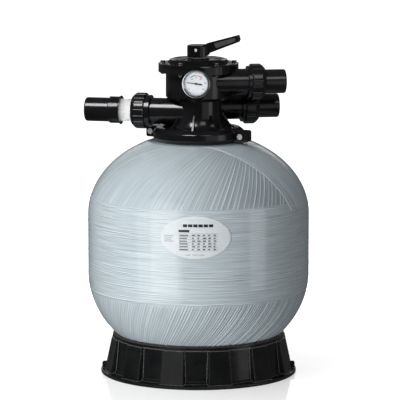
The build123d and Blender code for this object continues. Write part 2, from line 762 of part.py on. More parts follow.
with BuildPart() as gauge_stem:
    with BuildSketch(gauge_plane.offset(68)):
        Circle(6.4)
    extrude(amount=18)
    with BuildSketch(gauge_plane.offset(84.2)):
        RegularPolygon(7, 6, major_radius=False)
    extrude(amount=8)
    with BuildSketch(gauge_plane.offset(92)):
        Circle(5.5)
    extrude(amount=GAUGE_BACK - 92 + 2)
    with BuildSketch(gauge_plane.offset(67)):
        Circle(2)
    extrude(amount=30, mode=Mode.SUBTRACT)
keep(gauge_stem, "gauge_stem")

# Half-section plane of the gauge: local x is the radius, local y runs forwards along its axis
gauge_axis = Axis(gauge_plane.origin, gauge_plane.z_dir)
gauge_section = Plane(
    origin=gauge_plane.origin, x_dir=gauge_plane.x_dir, z_dir=gauge_plane.y_dir * -1
)
with BuildPart() as gauge_case:
    with BuildSketch(gauge_section):
        with BuildLine():
            Polyline(
                (5.5, GAUGE_BACK),
                (GAUGE_CASE_R - 2.5, GAUGE_BACK),
                (GAUGE_CASE_R, GAUGE_BACK + 2.5),
                (GAUGE_CASE_R, 110),
                (GAUGE_CASE_R - CASE_WALL, 110),
                (GAUGE_CASE_R - CASE_WALL, GAUGE_BACK + 2),
                (5.5, GAUGE_BACK + 2),
                close=True,
            )
        make_face()
    revolve(axis=gauge_axis)
keep(gauge_case, "gauge_case")

with BuildPart() as gauge_bourdon:
    with BuildSketch(gauge_section):
        with Locations((17, GAUGE_BACK + 4.2)):
            Circle(1.6)
    revolve(axis=gauge_axis, revolution_arc=250)
keep(gauge_bourdon, "gauge_bourdon")

with BuildPart() as gauge_dial:
    with BuildSketch(gauge_plane.offset(DIAL_L)):
        Circle(DIAL_R)
        Circle(2.0, mode=Mode.SUBTRACT)
    extrude(amount=0.8)
keep(gauge_dial, "gauge_dial")

with BuildPart() as gauge_needle:
    with BuildSketch(gauge_plane.offset(NEEDLE_L)):
        with Locations(Location((0, 0, 0), (0, 0, NEEDLE_ANGLE))):
            Polygon((-14, -1.9), (-14, 1.9), (0, 1.3), (21, 0.45), (21, -0.45), (0, -1.3), align=None)
        Circle(2.8)
    extrude(amount=0.7)
    with BuildSketch(gauge_plane.offset(DIAL_L - 2.5)):
        Circle(1.2)
    extrude(amount=6)
keep(gauge_needle, "gauge_needle")

with BuildPart() as gauge_lens:
    with BuildSketch(gauge_plane.offset(LENS_L)):
        Circle(DIAL_R)
    extrude(amount=1.6)
keep(gauge_lens, "gauge_lens")

with BuildPart() as gauge_bezel:
    with BuildSketch(gauge_section):
        with BuildLine():
            Polyline(
                (GAUGE_CASE_R + 0.05, 103),
                (BEZEL_R, 103),
                (BEZEL_R, GAUGE_FRONT),
                (30.5, GAUGE_FRONT),
                (WINDOW_OPENING_R, GAUGE_FRONT - 1.8),
                (WINDOW_OPENING_R, 110.1),
                (GAUGE_CASE_R + 0.05, 110.1),
                close=True,
            )
        make_face()
        fillet(vertices().sort_by(Axis.Y)[-2:].sort_by(Axis.X)[-1], 2.4)
    revolve(axis=gauge_axis)
keep(gauge_bezel, "gauge_bezel")

# ---------------------------------------------------------------- unions


def port_section(plane):
    """Half-section plane of a port: local x is the radius, local y runs outwards along its axis."""
    return Plane(origin=plane.origin, x_dir=plane.x_dir, z_dir=plane.y_dir * -1)


def port_axis(plane):
    """The port's centre line."""
    return Axis(plane.origin, plane.z_dir)


def union_nut(plane, start, node):
    """A fluted union nut: a straight grip, then a taper down to the tail."""
    end = start + NUT_LENGTH
    taper_start = end - 10.5
    with BuildPart() as nut:
        with BuildSketch(plane.offset(start)):
            Circle(NUT_R + 1)
            with PolarLocations(NUT_R + 0.6, NUT_FLUTES):
                Circle(2.2, mode=Mode.SUBTRACT)
        extrude(amount=end - start)
        with BuildSketch(port_section(plane)):
            with BuildLine():
                Polyline(
                    (THREAD_R + 0.4, start),
                    (NUT_R - 1.5, start),
                    (NUT_R, start + 1.5),
                    (NUT_R, taper_start),
                    (NUT_R - 2, taper_start + 3.5),
                    (NUT_R - 8.5, end),
                    (TAIL_R + 0.6, end),
                    (TAIL_R + 0.6, FACE_L + TAIL_FLANGE_THICK + 0.3),
                    (THREAD_R + 0.4, FACE_L + TAIL_FLANGE_THICK + 0.3),
                    close=True,
                )
            make_face()
        revolve(axis=port_axis(plane), mode=Mode.INTERSECT)
    keep(nut, node)


def union_oring(plane, node):
    """The O-ring that seals the tail's flange against the port's face."""
    with BuildPart() as ring:
        with BuildSketch(port_section(plane)):
            with Locations((FACE_GROOVE_R, FACE_L - 1.15)):
                Circle(1.3)
        revolve(axis=port_axis(plane))
    keep(ring, node)


def plain_tail(plane, node):
    """A union tail: flange under the nut, then a solvent-weld socket for the pipe."""
    with BuildPart() as tail:
        with BuildSketch(port_section(plane)):
            with BuildLine():
                Polyline(
                    (TAIL_BORE_R, FACE_L + 0.2),
                    (TAIL_FLANGE_R, FACE_L + 0.2),
                    (TAIL_FLANGE_R, FACE_L + TAIL_FLANGE_THICK),
                    (TAIL_R, FACE_L + TAIL_FLANGE_THICK),
                    (TAIL_R, RIGHT_TAIL_END - 3),
                    (TAIL_R - 1.6, RIGHT_TAIL_END),
                    (SOCKET_R, RIGHT_TAIL_END),
                    (SOCKET_R, RIGHT_TAIL_END - SOCKET_DEPTH),
                    (TAIL_BORE_R, RIGHT_TAIL_END - SOCKET_DEPTH),
                    close=True,
                )
            make_face()
        revolve(axis=port_axis(plane))
    keep(tail, node)


for label, plane in (("pump", pump_plane), ("return", return_plane)):
    union_nut(plane, RIGHT_NUT_START, f"{label}_union_nut")
    union_oring(plane, f"{label}_union_oring")
    plain_tail(plane, f"{label}_tail")

union_nut(waste_plane, WASTE_NUT_START, "waste_union_nut")
union_oring(waste_plane, "waste_union_oring")

with BuildPart() as sight_glass:
    with BuildSketch(port_section(waste_plane)):
        with BuildLine():
            Polyline(
                (GLASS_BORE_R, FACE_L + 0.2),
                (TAIL_FLANGE_R, FACE_L + 0.2),
                (TAIL_FLANGE_R, FACE_L + TAIL_FLANGE_THICK),
                (GLASS_R, FACE_L + TAIL_FLANGE_THICK),
                (GLASS_R, GLASS_END),
                (GLASS_BORE_R, GLASS_END),
                close=True,
            )
        make_face()
        fillet(vertices().sort_by(Axis.Y)[2:4].sort_by(Axis.X)[0], 1.5)
    revolve(axis=port_axis(waste_plane))
keep(sight_glass, "sight_glass")

with BuildPart() as waste_tail:
    with BuildSketch(port_section(waste_plane)):
        with BuildLine():
            Polyline(
                (GLASS_R + 0.1, LEFT_TAIL_START),
                (TAIL_LIP_R, LEFT_TAIL_START),
                (TAIL_LIP_R, LEFT_TAIL_START + 1.2),
                (TAIL_COLLAR_R, LEFT_TAIL_START + 4),
                (TAIL_COLLAR_R, LEFT_TAIL_START + 26),
                (TAIL_COLLAR_R - 1.4, LEFT_TAIL_START + 28),
                (TAIL_R, LEFT_TAIL_START + 28),
                (TAIL_R, LEFT_TAIL_END - 3),
                (TAIL_R - 1.6, LEFT_TAIL_END),
                (SOCKET_R, LEFT_TAIL_END),
                (SOCKET_R, LEFT_TAIL_END - SOCKET_DEPTH),
                (TAIL_BORE_R, LEFT_TAIL_END - SOCKET_DEPTH),
                (TAIL_BORE_R, GLASS_END + 0.3),
                (GLASS_R + 0.1, GLASS_END + 0.3),
                close=True,
            )
        make_face()
    revolve(axis=port_axis(waste_plane))
    with BuildSketch(waste_plane.offset(LEFT_TAIL_START + 3)):
        with PolarLocations(TAIL_COLLAR_R + 0.2, 12):
            Rectangle(1.6, 2.2)
    extrude(amount=26)
keep(waste_tail, "waste_tail")

# ---------------------------------------------------------------- underdrain

with BuildPart() as standpipe:
    with BuildSketch(Plane.XY.offset(HUB_SOCKET_Z + 0.2)):
        Circle(PIPE_R)
        Circle(PIPE_R - 2.4, mode=Mode.SUBTRACT)
    extrude(amount=COLUMN_STOP_Z - HUB_SOCKET_Z - 0.6)
keep(standpipe, "standpipe")

with BuildPart() as lateral_hub:
    with BuildSketch(Plane.XY.offset(LATERAL_HUB_Z)):
        Circle(LATERAL_HUB_R)
    extrude(amount=50)
    chamfer(lateral_hub.edges().group_by(Axis.Z)[0], 6)
    with BuildSketch(Plane.XY.offset(LATERAL_HUB_Z + 6)):
        Circle(26)
    extrude(amount=HUB_SOCKET_Z - LATERAL_HUB_Z - 6, mode=Mode.SUBTRACT)
    with BuildSketch(Plane.XY.offset(HUB_SOCKET_Z)):
        Circle(PIPE_R + 0.1)
    extrude(amount=20, mode=Mode.SUBTRACT)
    for index in range(LATERAL_COUNT):
        with BuildSketch(Plane.YZ.rotated((0, 0, index * 360 / LATERAL_COUNT)).offset(20)):
            with Locations((0, LATERAL_Z)):
                Circle(LATERAL_R + 0.1)
        extrude(amount=30, mode=Mode.SUBTRACT)
keep(lateral_hub, "lateral_hub")

# One slotted finger, then a ring of them
with BuildPart() as finger:
    with BuildSketch(Plane.YZ.offset(28)):
        with Locations((0, LATERAL_Z)):
            Circle(LATERAL_R)
    extrude(amount=LATERAL_END - 28)
    chamfer(finger.edges().group_by(Axis.X)[-1], 2)
    with BuildSketch(Plane.YZ.offset(27)):
        with Locations((0, LATERAL_Z)):
            Circle(LATERAL_R - 2)
    extrude(amount=LATERAL_END - 31, mode=Mode.SUBTRACT)
    with BuildSketch(Plane.XZ.offset(-20)):
        with Locations((105, LATERAL_Z - 9)):
            with GridLocations(9, 10, 12, 1):
                Rectangle(0.8, 8)
    extrude(amount=40, mode=Mode.SUBTRACT)

with BuildPart() as laterals:
    with PolarLocations(0, LATERAL_COUNT):
        add(finger.part)
keep(laterals, "laterals")

with BuildPart() as top_diffuser:
    with BuildSketch(Plane.XY.offset(DIFFUSER_Z)):
        Circle(DIFFUSER_R)
        Circle(PIPE_R + 0.4, mode=Mode.SUBTRACT)
    extrude(amount=22)
    with BuildSketch(Plane.XY.offset(DIFFUSER_Z + 4)):
        Circle(DIFFUSER_R - 3)
        Circle(PIPE_R + 3.4, mode=Mode.SUBTRACT)
    extrude(amount=20, mode=Mode.SUBTRACT)
    with BuildSketch(Plane.XY.offset(DIFFUSER_Z - 1)):
        with PolarLocations(43, 24):
            SlotOverall(24, 3)
    extrude(amount=8, mode=Mode.SUBTRACT)
keep(top_diffuser, "top_diffuser")

# ---------------------------------------------------------------- drain

with BuildPart() as drain_spigot:
    with BuildSketch(drain_plane.offset(-18)):
        Circle(DRAIN_BORE_R - 0.3)
    extrude(amount=40)
    with BuildSketch(drain_plane.offset(0.1)):
        Circle(22)
    extrude(amount=5)
    with BuildSketch(drain_plane.offset(-23)):
        Circle(9)
    extrude(amount=50, mode=Mode.SUBTRACT)
keep(drain_spigot, "drain_spigot")

with BuildPart() as drain_locknut:
    with BuildSketch(drain_plane.offset(-TANK_WALL - 2.2)):
        RegularPolygon(21, 6)
        Circle(DRAIN_BORE_R - 0.3, mode=Mode.SUBTRACT)
    extrude(amount=-8)
keep(drain_locknut, "drain_locknut")

with BuildPart() as drain_cap:
    with BuildSketch(drain_plane.offset(6.5)):
        Circle(19)
        with PolarLocations(19.6, 12):
            Circle(1.6, mode=Mode.SUBTRACT)
    extrude(amount=21)
    with BuildSketch(drain_plane.offset(6)):
        Circle(DRAIN_BORE_R)
    extrude(amount=18.2, mode=Mode.SUBTRACT)
keep(drain_cap, "drain_cap")

with BuildPart() as drain_oring:
    with BuildSketch(drain_plane.offset(22.1)):
        Circle(13)
        Circle(9.5, mode=Mode.SUBTRACT)
    extrude(amount=1.9)
keep(drain_oring, "drain_oring")
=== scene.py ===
"""Looks for a top-mount pool sand filter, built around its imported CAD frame. All lengths are in metres."""

import json
import math

import bpy
import numpy as np
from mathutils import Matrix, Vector


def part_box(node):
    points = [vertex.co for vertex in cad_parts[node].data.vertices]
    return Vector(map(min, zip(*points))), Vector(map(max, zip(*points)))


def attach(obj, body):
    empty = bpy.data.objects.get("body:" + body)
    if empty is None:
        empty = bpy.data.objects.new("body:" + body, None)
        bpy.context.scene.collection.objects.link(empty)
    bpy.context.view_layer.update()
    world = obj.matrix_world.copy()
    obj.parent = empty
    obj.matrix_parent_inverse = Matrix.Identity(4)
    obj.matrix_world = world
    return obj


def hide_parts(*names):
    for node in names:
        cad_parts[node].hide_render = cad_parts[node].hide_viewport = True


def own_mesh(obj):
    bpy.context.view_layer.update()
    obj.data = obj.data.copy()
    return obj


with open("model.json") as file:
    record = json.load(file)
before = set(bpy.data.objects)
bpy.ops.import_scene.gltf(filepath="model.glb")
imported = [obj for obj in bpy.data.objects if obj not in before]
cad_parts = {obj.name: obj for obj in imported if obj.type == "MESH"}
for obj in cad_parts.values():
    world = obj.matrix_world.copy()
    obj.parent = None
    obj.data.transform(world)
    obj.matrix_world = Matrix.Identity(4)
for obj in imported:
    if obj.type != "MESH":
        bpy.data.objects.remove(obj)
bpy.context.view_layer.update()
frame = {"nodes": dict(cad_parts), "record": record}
NODES = frame["nodes"]
SLOTS = {row["node"]: row["material_slot"] for row in frame["record"]["subparts"]}
MATERIALS = {}
MM = 0.001
rng = np.random.default_rng(7)

# The room's light on rough faces and in reflections, and the directions over which the white card fades in
ROOM = 0.26
ROOM_GLOSS = 0.07
CARD_BACK = (0.90, 0.95)
CARD_UP = (0.13, 0.18)

# The camera: a long lens, a little above the object
LENS = 266
SENSOR = 36
CAMERA_AIM = Vector((0.0036, 0, 0.415))
CAMERA_BACK = 7.0
CAMERA_Z = 1.462

# The floor, and its glow at a near and a far distance: weaker near the object, a painted shadow round it
FLOOR_R = 30.0
FLOOR_SIDES = 96
GLOW_AND_SHADOW_REACH = (0.25, 1.2)
GLOW_AND_SHADOW = (0.5, 1.1)

# The vessel's outline, as the CAD states it
TANK_R = 263.5 * MM
WALL = 6 * MM
LOW_TANGENT_Z = 243 * MM
HIGH_TANGENT_Z = 384 * MM
LOW_DOME_H = 220 * MM
HIGH_DOME_H = 195.4 * MM
NECK_BORE_R = 76.2 * MM
NECK_R = 84 * MM
NECK_FOOT_Z = 551 * MM
NECK_TOP_Z = 576.3 * MM
FLANGE_R = 98 * MM
FLANGE_UNDER_Z = 569 * MM
SHOULDER_R = 112 * MM
LINING_END_R = 30 * MM

# The mesh of the vessel: rows down it, and columns round it in each strand
HIGH_ROWS = 60
SIDE_ROWS = 6
LOW_ROWS = 56
LINING_ROWS = 14
STRANDS = 420
STEPS = 4

# The helical windings: where they start and end, how proud they stand and where they fade at the neck
WOUND_TOP_R = 118 * MM
WOUND_END_R = 24 * MM
POLAR_R = 104 * MM
PROUD = 0.3 * MM
FADE_R = 116 * MM
FADE_W = 14 * MM

# The ridges among them: the longitudes where they are strongest, their height and their spacing in columns
HIGH_RIDGE_AT = math.radians(-48)
LOW_RIDGE_AT = math.radians(-75)
LOW_RIDGE_GAIN = 1.2
RIDGE_H = 1.3 * MM
RIDGE_FADE = 6 * MM
RIDGE_UNDER_HOOP = 4 * MM
HIGH_RIDGE_COLUMNS = 14
LOW_RIDGE_COLUMNS = 7

# The hoop windings round the middle
HOOP_LOW = 204 * MM
HOOP_HIGH = 429 * MM
HOOP_COLUMNS = 400
HOOP_ROWS = 300
ROWS_PER_HOOP = 5
HOOP_LIFT = 0.6 * MM
HOOP_UNDER = 0.4 * MM
RAGGED = 2.2 * MM

# The last helical ply, over part of the upper dome
PLY_START = math.radians(-34)
PLY_END = math.radians(104)
PLY_COLUMNS = 420
PLY_ROWS = 60
PLY_THICK = 1.0 * MM
PLY_UNDER = 0.6 * MM

# The oval label
LABEL_LOW, LABEL_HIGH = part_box("tank_label")
LABEL_X = (LABEL_LOW.x + LABEL_HIGH.x) / 2
LABEL_Z = (LABEL_LOW.z + LABEL_HIGH.z) / 2
LABEL_HALF_W = (LABEL_HIGH.x - LABEL_LOW.x) / 2
LABEL_HALF_H = (LABEL_HIGH.z - LABEL_LOW.z) / 2
LABEL_LIFT = 2.0 * MM
LABEL_THICK = 0.9 * MM
LABEL_RINGS = 40
LABEL_SPOKES = 160
PRINT_LIFT = LABEL_LIFT + 0.15 * MM

# The gauge's dial, its face's distance from the vessel's axis, and its scale, clockwise in degrees
GAUGE_TURN = math.radians(3)
GAUGE_RIGHT = Vector((math.cos(GAUGE_TURN), -math.sin(GAUGE_TURN), 0))
GAUGE_OUT = Vector((-math.sin(GAUGE_TURN), -math.cos(GAUGE_TURN), 0))
DIAL_LOW, DIAL_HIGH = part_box("gauge_dial")
GAUGE_Z = (DIAL_LOW.z + DIAL_HIGH.z) / 2
DIAL_FACE = 104.8 * MM
DIAL_START = 217
DIAL_SWEEP = 254
DIAL_TICKS = 30
DIAL_STEPS = 6
ARC_STEP = 5

# The handle's lever, and the plates in its finger recesses
HANDLE_TURN = math.radians(-16)
LEVER_HALF_W = 12 * MM
GRIP_FLOOR = LEVER_HALF_W - 3.5 * MM
GRIP_PROUD = 1.2 * MM
GRIP_SUNK = 0.5 * MM


# ---------------------------------------------------------------- camera, lights and floor


def make_camera():
    """A catalogue view, from the front and a little above."""
    data = bpy.data.cameras.new("camera")
    data.lens = LENS
    data.sensor_width = SENSOR
    data.clip_end = 100
    camera = bpy.data.objects.new("camera", data)
    camera.location = (CAMERA_AIM.x, -CAMERA_BACK, CAMERA_Z)
    camera.rotation_euler = (CAMERA_AIM - camera.location).to_track_quat("-Z", "Y").to_euler()
    bpy.context.scene.collection.objects.link(camera)
    bpy.context.scene.camera = camera


def area_light(name, azimuth, height, distance, size, radiance, aim_z=0.4):
    """A rectangular softbox that faces the object. Azimuth runs from the front, positive to the right."""
    data = bpy.data.lights.new(name, "AREA")
    data.shape = "RECTANGLE"
    data.size, data.size_y = size
    data.energy = radiance * math.pi * size[0] * size[1]
    light = bpy.data.objects.new(name, data)
    turn = math.radians(azimuth)
    light.location = (distance * math.sin(turn), -distance * math.cos(turn), height)
    away = Vector(light.location) - Vector((0, 0, aim_z))
    light.rotation_euler = (-away).to_track_quat("-Z", "Y").to_euler()
    light.visible_camera = False
    bpy.context.scene.collection.objects.link(light)
    return light


def share_light(light, names, state="INCLUDE"):
    """Let a light fall only on the named nodes, or, with EXCLUDE, on everything but them."""
    group = bpy.data.collections.new(light.name + "_nodes")
    for name in names:
        group.objects.link(NODES[name])
    light.light_linking.receiver_collection = group
    for entry in group.collection_objects:
        entry.light_linking.link_state = state


def make_lights():
    """Soft boxes: tall at the left for the vessel, others for the black valve's gloss, dim ones behind."""
    black = [name for name, slot in SLOTS.items() if slot == "valve_black"]
    pipework = [name for name in black if name not in ("handle", "valve_lid", "drain_cap", "drain_spigot")]
    for name, azimuth, size, radiance in (
        ("key_wide", -38.5, (1.35, 2.2), 1.05),
        ("key_core", -33, (0.75, 1.1), 1.35),
    ):
        key = area_light(name, azimuth, 0.42, 1.6, size, radiance)
        share_light(key, [*black, "base_ring"], "EXCLUDE")
    share_light(area_light("base_left", -33, 0.42, 1.6, (0.75, 1.05), 0.5), ["base_ring"])
    area_light("strip_right", 60, 0.5, 1.9, (0.6, 1.3), 0.9)
    share_light(area_light("pipe_gloss", -29, 3.3, 2.4, (1.4, 1.6), 16, aim_z=0.63), pipework)
    share_light(area_light("valve_front", 38, 0.5, 1.6, (1.2, 1.0), 0.4), black)
    share_light(area_light("valve_high", 22, 1.7, 1.4, (0.6, 0.6), 2.5, aim_z=0.63), black)
    for name, azimuth, height, distance, size, radiance in (
        ("low_left", -32, -0.6, 1.7, (2.0, 0.9), 3.4),
        ("overhead", -60, 2.0, 1.0, (2.2, 1.2), 3.2),
        ("rear_left", -150, 1.2, 2.0, (0.8, 1.2), 1.6),
        ("rear_right", 150, 1.2, 2.0, (0.8, 1.2), 1.6),
    ):
        area_light(name, azimuth, height, distance, size, radiance).visible_glossy = False


def make_world():
    """White to the camera, dim as a light, and in reflections dimmer still but for a white card behind."""
    world = bpy.data.worlds.new("room")
    world.use_nodes = True
    nodes, links = world.node_tree.nodes, world.node_tree.links
    path = nodes.new("ShaderNodeLightPath")
    direction = nodes.new("ShaderNodeSeparateXYZ")
    links.new(nodes.new("ShaderNodeTexCoord").outputs["Generated"], direction.inputs["Vector"])
    behind = spread(nodes, links, direction.outputs["Y"], CARD_BACK, (0, 1 - ROOM_GLOSS))
    card = spread(nodes, links, direction.outputs["Z"], CARD_UP, (0, 1))
    links.new(behind.outputs["Result"], card.inputs["To Max"])
    reflected = nodes.new("ShaderNodeMath")
    links.new(card.outputs["Result"], reflected.inputs[0])
    reflected.inputs[1].default_value = ROOM_GLOSS
    glossy = nodes.new("ShaderNodeMix")
    links.new(path.outputs["Is Glossy Ray"], glossy.inputs["Factor"])
    glossy.inputs["A"].default_value = ROOM
    links.new(reflected.outputs["Value"], glossy.inputs["B"])
    seen = nodes.new("ShaderNodeMix")
    links.new(path.outputs["Is Camera Ray"], seen.inputs["Factor"])
    links.new(glossy.outputs["Result"], seen.inputs["A"])
    seen.inputs["B"].default_value = 1.0
    links.new(seen.outputs["Result"], nodes["Background"].inputs["Strength"])
    nodes["Background"].inputs["Color"].default_value = (1, 1, 1, 1)
    bpy.context.scene.world = world
    bpy.context.scene.view_settings.view_transform = "Standard"


def make_floor():
    """A large pale floor that glows, less near the object as a painted shadow round it. It takes soft
    shadows, and doesn't light the object or show in its gloss.
    """
    turns = [2 * math.pi * i / FLOOR_SIDES for i in range(FLOOR_SIDES)]
    rim = [(FLOOR_R * math.cos(turn), FLOOR_R * math.sin(turn), 0) for turn in turns]
    mesh = bpy.data.meshes.new("floor")
    mesh.from_pydata(rim, [], [list(range(FLOOR_SIDES))])
    floor = bpy.data.objects.new("floor", mesh)
    bpy.context.scene.collection.objects.link(floor)
    nodes, links, shader = new_material("floor_pale")
    shader.inputs["Base Color"].default_value = (0.6, 0.6, 0.6, 1)
    shader.inputs["Roughness"].default_value = 0.06
    shader.inputs["Emission Color"].default_value = (1, 1, 1, 1)
    far = nodes.new("ShaderNodeVectorMath")
    far.operation = "LENGTH"
    links.new(nodes.new("ShaderNodeTexCoord").outputs["Object"], far.inputs[0])
    # the glow is weaker near the object: a painted shadow round it that also lets the lights' own shadows
    # show
    glow_and_shadow = spread(nodes, links, far.outputs["Value"], GLOW_AND_SHADOW_REACH, GLOW_AND_SHADOW)
    glow_and_shadow.interpolation_type = "SMOOTHSTEP"
    links.new(glow_and_shadow.outputs["Result"], shader.inputs["Emission Strength"])
    mesh.materials.append(MATERIALS["floor_pale"])
    floor.visible_glossy = False
    floor.visible_diffuse = False
    floor.visible_shadow = False


# ---------------------------------------------------------------- shader helpers


def new_material(name):
    """An empty node material, kept in MATERIALS: (nodes, links, its Principled shader)."""
    material = bpy.data.materials.new(name)
    material.use_nodes = True
    MATERIALS[name] = material
    nodes, links = material.node_tree.nodes, material.node_tree.links
    return nodes, links, nodes["Principled BSDF"]


def spread(nodes, links, value, source, target):
    """A node that maps a value from one range, (from, to), to another, and stops at its ends."""
    node = nodes.new("ShaderNodeMapRange")
    node.inputs["From Min"].default_value, node.inputs["From Max"].default_value = source
    node.inputs["To Min"].default_value, node.inputs["To Max"].default_value = target
    links.new(value, node.inputs["Value"])
    return node


def noise_range(nodes, links, value, low, high):
    """Noise spread from low to high."""
    return spread(nodes, links, value, (0.3, 0.7), (low, high)).outputs["Result"]


def noise(nodes, links, coords, scale, detail=4.0, stretch=(1, 1, 1)):
    """Noise over the given coordinates, stretched along their axes."""
    mapping = nodes.new("ShaderNodeMapping")
    mapping.inputs["Scale"].default_value = stretch
    links.new(coords, mapping.inputs["Vector"])
    texture = nodes.new("ShaderNodeTexNoise")
    texture.inputs["Scale"].default_value = scale
    texture.inputs["Detail"].default_value = detail
    links.new(mapping.outputs["Vector"], texture.inputs["Vector"])
    return texture.outputs["Fac"]


def ramp(nodes, links, factor, stops):
    """A colour ramp: stops are (position, colour)."""
    node = nodes.new("ShaderNodeValToRGB")
    elements = node.color_ramp.elements
    while len(elements) < len(stops):
        elements.new(0.5)
    for element, (position, colour) in zip(elements, stops):
        element.position = position
        element.color = (*colour, 1)
    links.new(factor, node.inputs["Fac"])
    return node.outputs["Color"]


def towards(nodes, links, factor, base, colour):
    """A varying base colour drawn towards a fixed one by a factor."""
    mix = nodes.new("ShaderNodeMix")
    mix.data_type = "RGBA"
    links.new(factor, mix.inputs["Factor"])
    links.new(base, mix.inputs["A"])
    mix.inputs["B"].default_value = (*colour, 1)
    return mix.outputs["Result"]


def times(nodes, links, value, gain):
    """A varying value times a fixed gain."""
    node = nodes.new("ShaderNodeMath")
    node.operation = "MULTIPLY"
    links.new(value, node.inputs[0])
    node.inputs[1].default_value = gain
    return node.outputs["Value"]


def bump(nodes, links, shader, height, strength, distance):
    """A bump from a height, into the shader's normal."""
    node = nodes.new("ShaderNodeBump")
    node.inputs["Strength"].default_value = strength
    node.inputs["Distance"].default_value = distance
    links.new(height, node.inputs["Height"])
    links.new(node.outputs["Normal"], shader.inputs["Normal"])


def edge_wear(nodes, links, width, amount):
    """How sharp an edge is, from its bevelled normal: 0 on flats, up to amount on edges."""
    bevel = nodes.new("ShaderNodeBevel")
    bevel.samples = 8
    bevel.inputs["Radius"].default_value = width
    geometry = nodes.new("ShaderNodeNewGeometry")
    agree = nodes.new("ShaderNodeVectorMath")
    agree.operation = "DOT_PRODUCT"
    links.new(bevel.outputs["Normal"], agree.inputs[0])
    links.new(geometry.outputs["Normal"], agree.inputs[1])
    return spread(nodes, links, agree.outputs["Value"], (1.0, 0.75), (0.0, amount)).outputs["Result"]


# ---------------------------------------------------------------- materials


def moulded_plastic(
    name, dark, light, roughness, rub_and_glint_width=0.9, rubbed_and_glint_lift=0.06, grain=900, grain_height=0.03, wear_and_glint=0.5
):
    """Moulded plastic: faint mottling, a fine grain, paler edges of a given width in mm: rubbed wear on most
    parts, painted highlights on the base's blocks.
    """
    nodes, links, shader = new_material(name)
    coords = nodes.new("ShaderNodeTexCoord").outputs["Object"]
    mottle = ramp(nodes, links, noise(nodes, links, coords, 22), [(0.35, dark), (0.7, light)])
    paler = [min(1, channel * 2.5 + rubbed_and_glint_lift) for channel in light]
    worn_and_glinting = towards(nodes, links, edge_wear(nodes, links, rub_and_glint_width * MM, wear_and_glint), mottle, paler)
    links.new(worn_and_glinting, shader.inputs["Base Color"])
    smudge = noise(nodes, links, coords, 35, 6)
    links.new(noise_range(nodes, links, smudge, *roughness), shader.inputs["Roughness"])
    bump(nodes, links, shader, noise(nodes, links, coords, grain, 2), grain_height, 0.0004)


def metal(name, dark, light, roughness, brushed=(1, 1, 1)):
    """Bare or plated metal with fine brushing or casting marks."""
    nodes, links, shader = new_material(name)
    coords = nodes.new("ShaderNodeTexCoord").outputs["Object"]
    streaks = noise(nodes, links, coords, 300, 5, brushed)
    links.new(ramp(nodes, links, streaks, [(0.3, dark), (0.7, light)]), shader.inputs["Base Color"])
    shader.inputs["Metallic"].default_value = 1.0
    links.new(noise_range(nodes, links, streaks, *roughness), shader.inputs["Roughness"])
    bump(nodes, links, shader, streaks, 0.04, 0.0002)


def rubber(name):
    """Matt black sealing rubber with a dusty bloom."""
    nodes, links, shader = new_material(name)
    coords = nodes.new("ShaderNodeTexCoord").outputs["Object"]
    stops = [(0.35, (0.012, 0.012, 0.013)), (0.75, (0.04, 0.04, 0.042))]
    links.new(ramp(nodes, links, noise(nodes, links, coords, 120, 6), stops), shader.inputs["Base Color"])
    shader.inputs["Roughness"].default_value = 0.75
    bump(nodes, links, shader, noise(nodes, links, coords, 1500, 2), 0.1, 0.0003)


def clear_plastic(name, tint, roughness, clarity):
    """Clear or milky moulded plastic, very slightly uneven."""
    nodes, links, shader = new_material(name)
    haze = noise(nodes, links, nodes.new("ShaderNodeTexCoord").outputs["Object"], 60, 4)
    shader.inputs["Base Color"].default_value = (*tint, 1)
    if min(tint) < 1:
        lighter = tuple(min(1.0, channel * 1.01) for channel in tint)
        links.new(ramp(nodes, links, haze, [(0.4, tint), (0.6, lighter)]), shader.inputs["Base Color"])
    shader.inputs["Transmission Weight"].default_value = clarity
    shader.inputs["IOR"].default_value = 1.15
    links.new(noise_range(nodes, links, haze, *roughness), shader.inputs["Roughness"])


def printed(name, tint, roughness=(0.4, 0.5)):
    """A printed face or ink: almost even, with faint mottling."""
    nodes, links, shader = new_material(name)
    paper = noise(nodes, links, nodes.new("ShaderNodeTexCoord").outputs["Object"], 90, 5)
    darker = tuple(channel * 0.94 for channel in tint)
    links.new(ramp(nodes, links, paper, [(0.35, darker), (0.65, tint)]), shader.inputs["Base Color"])
    links.new(noise_range(nodes, links, paper, *roughness), shader.inputs["Roughness"])
    bump(nodes, links, shader, paper, 0.03, 0.0002)


def strand_tone(nodes, links, fine, broad):
    """The fibre's colour, from fine and broad streaks along the strands."""
    both = nodes.new("ShaderNodeMix")
    both.inputs["Factor"].default_value = 0.15
    links.new(fine, both.inputs["A"])
    links.new(broad, both.inputs["B"])
    stops = [(0.38, (0.37, 0.43, 0.465)), (0.5, (0.445, 0.515, 0.55)), (0.62, (0.51, 0.585, 0.62))]
    return ramp(nodes, links, both.outputs["Result"], stops)


